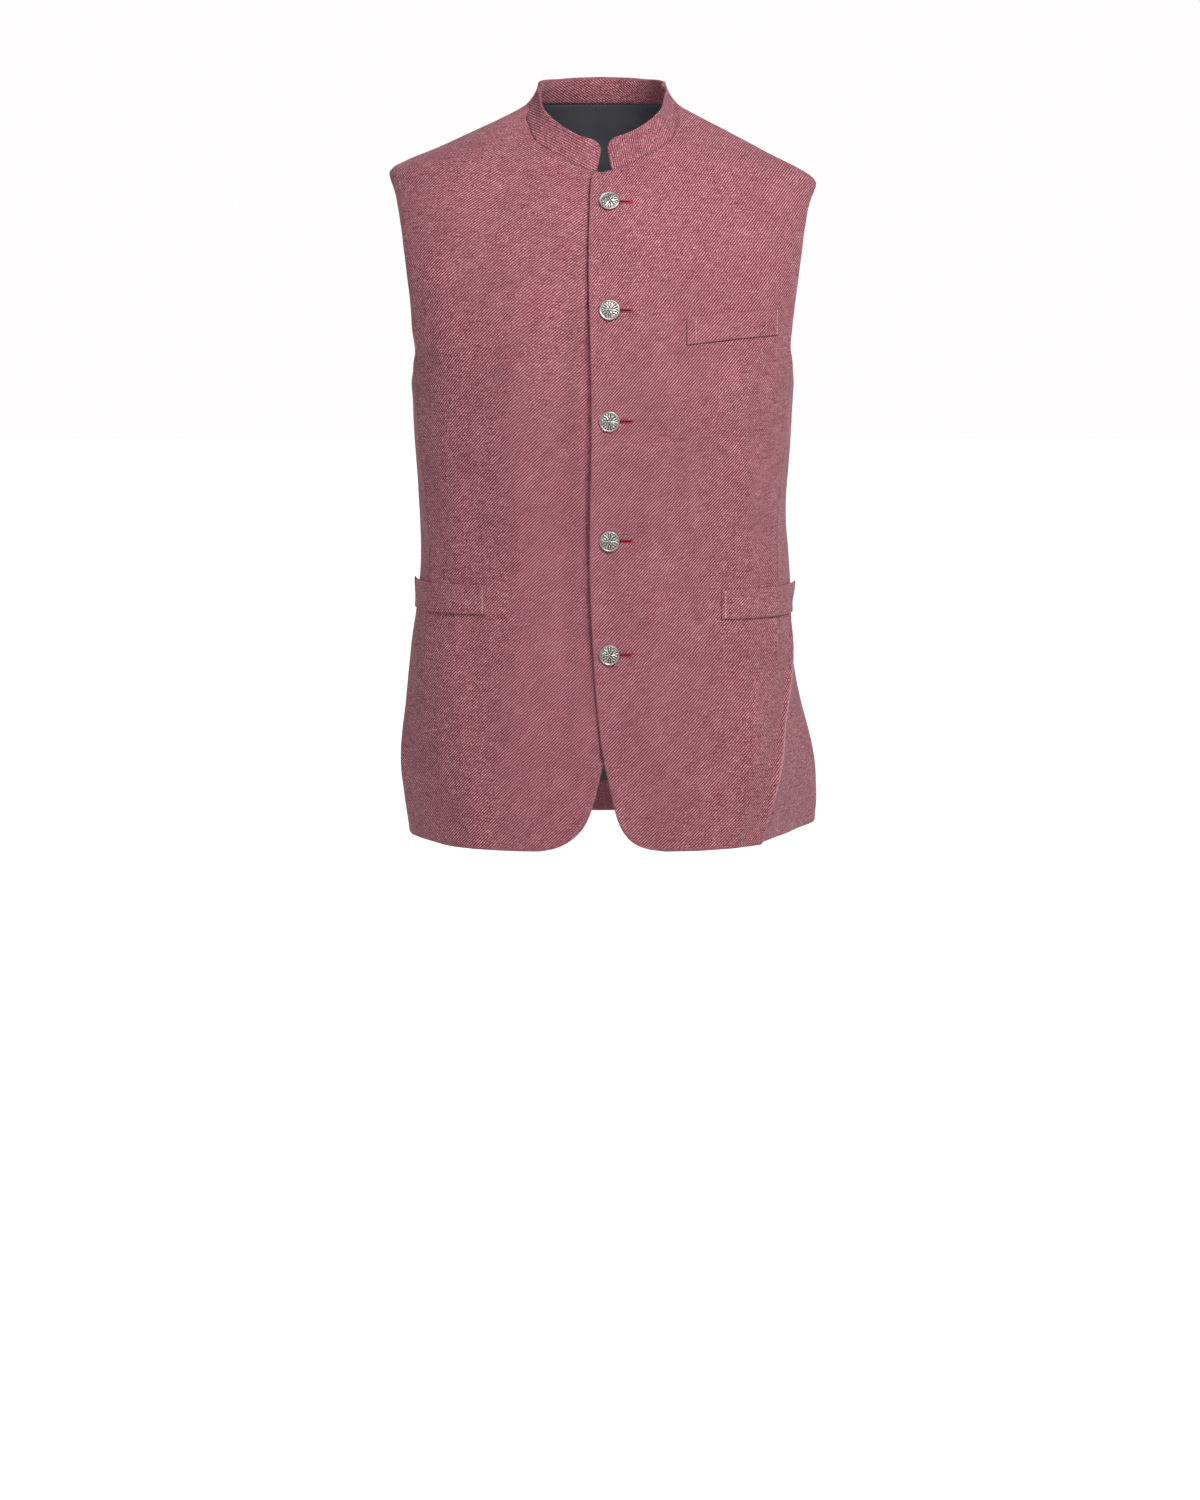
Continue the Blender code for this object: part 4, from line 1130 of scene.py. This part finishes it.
def wine_twill():
    """Heathered 2/2 twill: wine warp, pale pink weft, both uneven along their length."""
    material, graph = new_material("wine twill")
    place = graph.node("ShaderNodeUVMap", {"uv_map": "cloth"})
    wander = graph.noise(place, WANDER_SCALE, 2.0, "2D")
    split = graph.node("ShaderNodeSeparateXYZ", None, {0: place})
    u = split * (1.0 / YARN) + wander * WANDER
    v = split.also("Y") * (1.0 / YARN) + wander.also(1).math("MULTIPLY", WANDER)
    warp, weft = u.floor(), v.floor()
    phase = (warp - weft).math("FLOORED_MODULO", 4.0)
    warp_up = phase.below(1.5)

    warp_own, weft_own = graph.chance(warp), graph.chance(weft + 0.37)
    warp_slub = graph.noise(graph.vector(warp * 0.731, v * SLUB), 1.0, 3.0, "2D")
    weft_slub = graph.noise(graph.vector(u * SLUB, weft * 0.731 + 71.0), 1.0, 3.0, "2D")
    speck = graph.chance(warp, weft)
    warp_tone = warp_own * 0.15 + graph.spread(warp_slub, 0.34, 0.66) * 0.65 + speck * 0.2
    weft_tone = weft_own * 0.08 + graph.spread(weft_slub, 0.34, 0.66) * 0.42 + speck * speck * 0.6
    warp_colour = graph.blend(warp_tone, WARP_DARK, WARP_LIGHT)
    weft_colour = graph.blend(weft_tone, WEFT_DARK, WEFT_LIGHT)
    colour = graph.blend(warp_up, weft_colour, warp_colour)

    fleck = graph.chance((u * 0.5).floor(), weft)
    bright, rust = fleck.above(1.0 - FLECK_SHARE), fleck.below(FLECK_SHARE * 0.6)
    colour = graph.blend(bright * 0.45, colour, FLECK_PALE)
    colour = graph.blend(rust * 0.6, colour, FLECK_RUST)
    cloud = graph.spread(graph.noise(place, CLOUD_SCALE, 4.0, "2D"), 0.3, 0.7, 0.0, 1.0)
    colour = graph.blend(cloud * 0.22, colour, CLOUD_DARK)
    # Painted shade: the cloth is darker along the dart seam, where shade falls in its groove; the bump
    # below sinks the same line.
    groove = graph.marked_line("dart", DART_WIDTH)
    colour = graph.blend(groove * 0.35, colour, WARP_DARK)
    # Painted highlight: the cloth is paler along the left skirt's pressed crest, where the crest would
    # catch the light.
    pale = graph.marked_line("crest_highlight", PAINTED_CREST_HIGHLIGHT.width)
    colour = graph.blend(pale * PAINTED_CREST_HIGHLIGHT.depth, colour, WEFT_LIGHT)

    across_warp, across_weft = u.fraction() - 0.5, v.fraction() - 0.5
    warp_round = 1.0 - (across_warp * across_warp) * 4.0
    weft_round = 1.0 - (across_weft * across_weft) * 4.0
    height = graph.choose(warp_up, weft_round * 0.8, warp_round)
    fuzz = graph.noise(place, FUZZ_SCALE, 2.0, "2D")
    normal = graph.bump(height + fuzz * 0.5, 0.55, YARN_RELIEF)
    normal = graph.bump(0.0 - groove, 0.6, DART_DEPTH, normal)
    roughness = graph.spread(fuzz, 0.3, 0.7, 0.82, 0.94)
    finish_material(graph, {
        "Base Color": colour, "Roughness": roughness, "Normal": normal,
        "Specular IOR Level": 0.25, "Sheen Weight": 0.1, "Sheen Roughness": 0.5,
        "Sheen Tint": (1.0, 0.9, 0.92, 1.0)})
    return material


def slate_lining():
    """Plain dark satin, with its fine weave across the light."""
    material, graph = new_material("slate lining")
    place = graph.node("ShaderNodeUVMap", {"uv_map": "cloth"})
    split = graph.node("ShaderNodeSeparateXYZ", None, {0: place})
    thread = (split.also("Y") * 2600.0).math("SINE") + (split * 2100.0).math("SINE") * 0.4
    cloud = graph.noise(place, 30.0, 3.0, "2D")
    colour = graph.blend(cloud, (0.045, 0.048, 0.062, 1.0), (0.085, 0.088, 0.108, 1.0))
    finish_material(graph, {
        "Base Color": colour, "Roughness": graph.spread(cloud, 0.3, 0.7, 0.36, 0.5),
        "Normal": graph.bump(thread, 0.25, 0.00008), "Sheen Weight": 0.1})
    return material


def thread(name, dark, light):
    """Twisted sewing thread, uneven from stitch to stitch."""
    material, graph = new_material(name)
    place = graph.node("ShaderNodeTexCoord", None, None, "Object")
    tone = graph.noise(place, 900.0, 2.0)
    colour = graph.blend(graph.spread(tone, 0.35, 0.65), dark, light)
    twist = graph.noise(place, 4200.0, 1.0)
    finish_material(graph, {
        "Base Color": colour, "Roughness": graph.spread(tone, 0.3, 0.7, 0.5, 0.7),
        "Normal": graph.bump(twist, 0.4, 0.0001), "Sheen Weight": 0.15})
    return material


def antique_silver():
    """Worn silver: bright on what stands up, black in the hollows."""
    material, graph = new_material("antique silver")
    place = graph.node("ShaderNodeTexCoord", None, None, "Object")
    hollow = graph.mark("hollow")
    grain = graph.noise(place, 1400.0, 4.0)
    blotch = graph.noise(place, 420.0, 2.0)
    dirt = graph.spread(hollow + (blotch - 0.5) * 0.9, 0.2, 0.72)
    bright = graph.blend(graph.spread(grain, 0.3, 0.7),
                         (0.53, 0.505, 0.475, 1.0), (0.82, 0.80, 0.77, 1.0))
    colour = graph.blend(dirt, bright, (0.06, 0.048, 0.04, 1.0))
    scratch = graph.noise(place, 2600.0, 3.0)
    finish_material(graph, {
        "Base Color": colour, "Metallic": 1.0 - dirt * 0.6,
        "Roughness": graph.spread(dirt + grain * 0.4, 0.1, 1.2, 0.26, 0.62),
        "Normal": graph.bump(scratch, 0.35, 0.00006)})
    return material


def pale_floor():
    """A plain pale floor with painted light: it glows faintly behind the jacket, fading toward the
    front, so that it meets the white there.
    """
    material, graph = new_material("pale floor")
    place = graph.node("ShaderNodeTexCoord", None, None, "Object")
    tone = graph.noise(place, 0.8, 2.0)
    colour = graph.blend(tone, (0.86, 0.855, 0.85, 1.0), (0.9, 0.895, 0.89, 1.0))
    behind = graph.spread(graph.node("ShaderNodeSeparateXYZ", None, {0: place}, "Y"), -0.5, 0.2)
    glow = graph.blend(behind, (0.0, 0.0, 0.0, 1.0), (1.0, 0.99, 0.99, 1.0))
    finish_material(graph, {"Base Color": colour, "Roughness": graph.spread(tone, 0.3, 0.7, 0.6, 0.7),
                            "Emission Color": glow, "Emission Strength": FLOOR_GLOW})
    return material


def stitch_tree():
    """Lays a bead of thread at even steps along a line of edges, standing off the cloth."""
    tree = bpy.data.node_groups.new("stitch row", "GeometryNodeTree")
    tree.is_modifier = True
    face = tree.interface
    face.new_socket("Geometry", in_out="INPUT", socket_type="NodeSocketGeometry")
    for name, kind in (("Spacing", "Float"), ("Size", "Vector"), ("Uneven", "Float"), ("Seed", "Int"),
                       ("Thread", "Material")):
        face.new_socket(name, in_out="INPUT", socket_type=f"NodeSocket{kind}")
    face.new_socket("Geometry", in_out="OUTPUT", socket_type="NodeSocketGeometry")
    graph = Graph(tree)
    given = graph.node("NodeGroupInput", None, None, "Geometry")
    line = graph.node("GeometryNodeMeshToCurve", None, {0: given})
    steps = graph.node("GeometryNodeResampleCurve", {"mode": "LENGTH"},
                       {"Curve": line, "Length": given.also("Spacing")})
    out = graph.node("GeometryNodeInputNamedAttribute", {"data_type": "FLOAT_VECTOR"}, {"Name": "out"})
    tangent = graph.node("GeometryNodeInputTangent")
    turned = graph.node("FunctionNodeAlignRotationToVector", {"axis": "X"}, {"Vector": tangent})
    turned = graph.node("FunctionNodeAlignRotationToVector", {"axis": "Z", "pivot_axis": "X"},
                        {"Rotation": turned, "Vector": out})
    vary = graph.node("FunctionNodeRandomValue", {"data_type": "FLOAT"},
                      {2: 1.0 - given.also("Uneven"), 3: 1.0 + given.also("Uneven"),
                       "Seed": given.also("Seed")}, 1)
    size = graph.node("ShaderNodeVectorMath", {"operation": "SCALE"},
                      {0: given.also("Size"), "Scale": vary})
    bead = graph.node("GeometryNodeMeshUVSphere", None, {"Segments": 8, "Rings": 5, "Radius": 1.0})
    beads = graph.node("GeometryNodeInstanceOnPoints", None,
                       {"Points": steps, "Instance": bead, "Rotation": turned, "Scale": size})
    real = graph.node("GeometryNodeRealizeInstances", None, {0: beads})
    smooth_beads = graph.node("GeometryNodeSetShadeSmooth", None, {0: real})
    done = graph.node("GeometryNodeSetMaterial", None,
                      {0: smooth_beads, "Material": given.also("Thread")})
    graph.node("NodeGroupOutput", None, {0: done})
    return tree


def sew(name, lines, tree, material, stitch):
    """Sews stitches along lines of (point, out) pairs, given in millimetres."""
    vertices, outs, edges = [], [], []
    for line in lines:
        first = len(vertices)
        for point, out in line:
            vertices.append(Vector(point) * MM)
            outs.append(Vector(out).normalized())
        edges += [(k, k + 1) for k in range(first, len(vertices) - 1)]
    mesh = bpy.data.meshes.new(name)
    mesh.from_pydata(vertices, edges, [])
    layer = mesh.attributes.new("out", "FLOAT_VECTOR", "POINT")
    layer.data.foreach_set("vector", [c for out in outs for c in out])
    piece = link(name, mesh)
    rows = piece.modifiers.new("stitches", "NODES")
    rows.node_group = tree
    values = {"Spacing": stitch.spacing * MM, "Size": [length * MM for length in stitch.size],
              "Uneven": stitch.uneven, "Seed": stitch.seed, "Thread": material}
    for item in tree.interface.items_tree:
        if item.in_out == "INPUT" and item.name in values:
            rows[item.identifier] = values[item.name]
    apply_modifiers(piece)
    return piece


def lip_lines():
    """Lines round each buttonhole: along both lips, and across the far end."""
    lips, bars = [], []
    reach = HOLE_WIDTH / 2 + LIP_WIDTH / 2 - 0.15
    for height in BUTTON_HEIGHTS:
        for way in (-1.0, 1.0):
            line = []
            for x in evenly(BUTTON_X + LIP_START, BUTTON_X + HOLE_LENGTH, LIP_POINTS):
                angle = angle_at_x(x, height + way * reach)
                point, out = over_front_point(angle, height + way * reach)
                line.append((point + out * LIP_HIGH * 0.4, out))
            lips.append(line)
        bar = []
        for across in evenly(-1.0, 1.0, BAR_POINTS):
            place = height + across * (reach + LIP_WIDTH * 0.35)
            point, out = over_front_point(angle_at_x(BUTTON_X + HOLE_LENGTH + 0.6, place), place)
            bar.append((point + out * LIP_HIGH * 0.5, out))
        bars.append(bar)
    return lips, bars


def welt_end_line(points, turn, column):
    """A line of stitches up a welt, near one of its ends."""
    normals = grid_normals(points, turn)
    rows = range(1, len(points) - 1)
    return [(points[i, column] + normals[i, column] * 0.1, normals[i, column]) for i in rows]


def camera():
    """The photograph's view: level with the chest, tipped a little down."""
    lens = bpy.data.cameras.new("camera")
    lens.sensor_fit = "AUTO"
    lens.sensor_width = 36.0
    lens.lens = LENS
    lens.clip_end = 100.0
    eye = link("camera", lens)
    eye.location = (CAMERA_X, -CAMERA_DISTANCE, CAMERA_HEIGHT)
    eye.rotation_euler = (math.pi / 2 - CAMERA_TILT, 0.0, 0.0)
    bpy.context.scene.camera = eye


def soft_light(name, place, target, size, power, colour):
    """A square studio light at a place, turned to a target."""
    lamp = bpy.data.lights.new(name, "AREA")
    lamp.size = size
    lamp.energy = power
    lamp.color = colour
    light = link(name, lamp)
    light.location = place
    light.rotation_euler = (Vector(target) - Vector(place)).to_track_quat("-Z", "Y").to_euler()


def studio():
    """White surroundings, a key light high on the wearer's left, and a pale floor."""
    world = bpy.data.worlds.new("white studio")
    world.use_nodes = True
    world.node_tree.nodes.clear()
    graph = Graph(world.node_tree)
    way = graph.node("ShaderNodeSeparateXYZ", None, {0: graph.node("ShaderNodeTexCoord")}, "Y")
    glow = graph.spread(way, 0.72, 0.95, DIM_SIDE, 1.0)
    light = graph.node("ShaderNodeBackground", None,
                       {"Color": (1.0, 0.985, 0.99, 1.0), "Strength": glow})
    graph.node("ShaderNodeOutputWorld", None, {"Surface": light})
    bpy.context.scene.world = world
    bpy.context.scene.view_settings.view_transform = "Standard"
    chest = (0.0, 0.0, -0.35)
    soft_light("key light", KEY_PLACE, chest, 0.9, KEY_POWER, (1.0, 0.985, 0.97))
    soft_light("fill light", FILL_PLACE, chest, 1.6, FILL_POWER, (0.98, 0.99, 1.0))
    mesh = bpy.data.meshes.new("floor")
    rim = [(FLOOR_RADIUS * math.cos(turn), FLOOR_RADIUS * math.sin(turn), FLOOR_HEIGHT)
           for turn in evenly(0.0, math.tau, FLOOR_CORNERS)[:-1]]
    mesh.from_pydata(rim, [], [tuple(range(FLOOR_CORNERS))])
    mesh.materials.append(pale_floor())
    link("floor", mesh)


def flat_size(flat, band):
    """Width, length and area of a flattened piece, in metres and square metres.

    A band is measured along its middle and across, as it is cut before it is steamed round.
    """
    width, length = np.ptp(flat[:, :, 0]), np.ptp(flat[:, :, 1])
    if band:
        middle, across = flat[len(flat) // 2], flat[:, flat.shape[1] // 2]
        width = np.linalg.norm(np.diff(middle, axis=0), axis=1).sum()
        length = np.linalg.norm(np.diff(across, axis=0), axis=1).sum() * BAND_CURVE_ROOM
    return round(float(width), 3), round(float(length), 3), float(cell_areas(flat).sum())


def declare(piece, node, flat=None, band=False):
    """Hangs a piece on the root body and hides the solid it stands for; its flat size is worked out
    but not kept.
    """
    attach(piece, "root")
    if node:
        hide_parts(node)
    if flat is not None:
        width, length, area = flat_size(flat, band)


def main():
    camera()
    studio()
    twill, lining, silver = wine_twill(), slate_lining(), antique_silver()
    crimson, pale = thread("crimson thread", *CRIMSON), thread("pale pink thread", *PALE_PINK)

    front_left, left_flat = make_front("front_left", 1, (twill, lining))
    front_right, right_flat = make_front("front_right", -1, (twill, lining))
    back, back_flat = make_back((twill, lining))
    collar, collar_flat = make_collar((twill,))
    cut_buttonholes(front_left)
    declare(front_left, "front_left", left_flat)
    declare(front_right, "front_right", right_flat)
    declare(back, "back", back_flat)
    declare(collar, "collar", collar_flat, band=True)

    welts = [(*welt[:3], side_welt_points(welt), SIDE_STITCH_COLUMNS) for welt in SIDE_WELTS]
    welts.append(("chest_welt", "front_left", 1, chest_welt_points(), CHEST_STITCH_COLUMNS))
    ends = []
    for name, front, side, points, stitched in welts:
        piece, flat = make_welt(name, points, side, (twill,))
        declare(piece, name, flat)
        ends += [welt_end_line(points, side, column) for column in stitched]

    for number, height in enumerate(BUTTON_HEIGHTS, 1):
        name = f"button_{number}"
        declare(make_button(f"{name}_silver", height, silver), name)
    lips, bars = lip_lines()
    tree = stitch_tree()
    for name, lines, material, stitch in (("buttonhole_lips", lips, crimson, LIP_STITCH),
                                          ("buttonhole_bars", bars, crimson, BAR_STITCH),
                                          ("welt_stitches", ends, pale, WELT_STITCH)):
        declare(sew(name, lines, tree, material, stitch), None)


main()
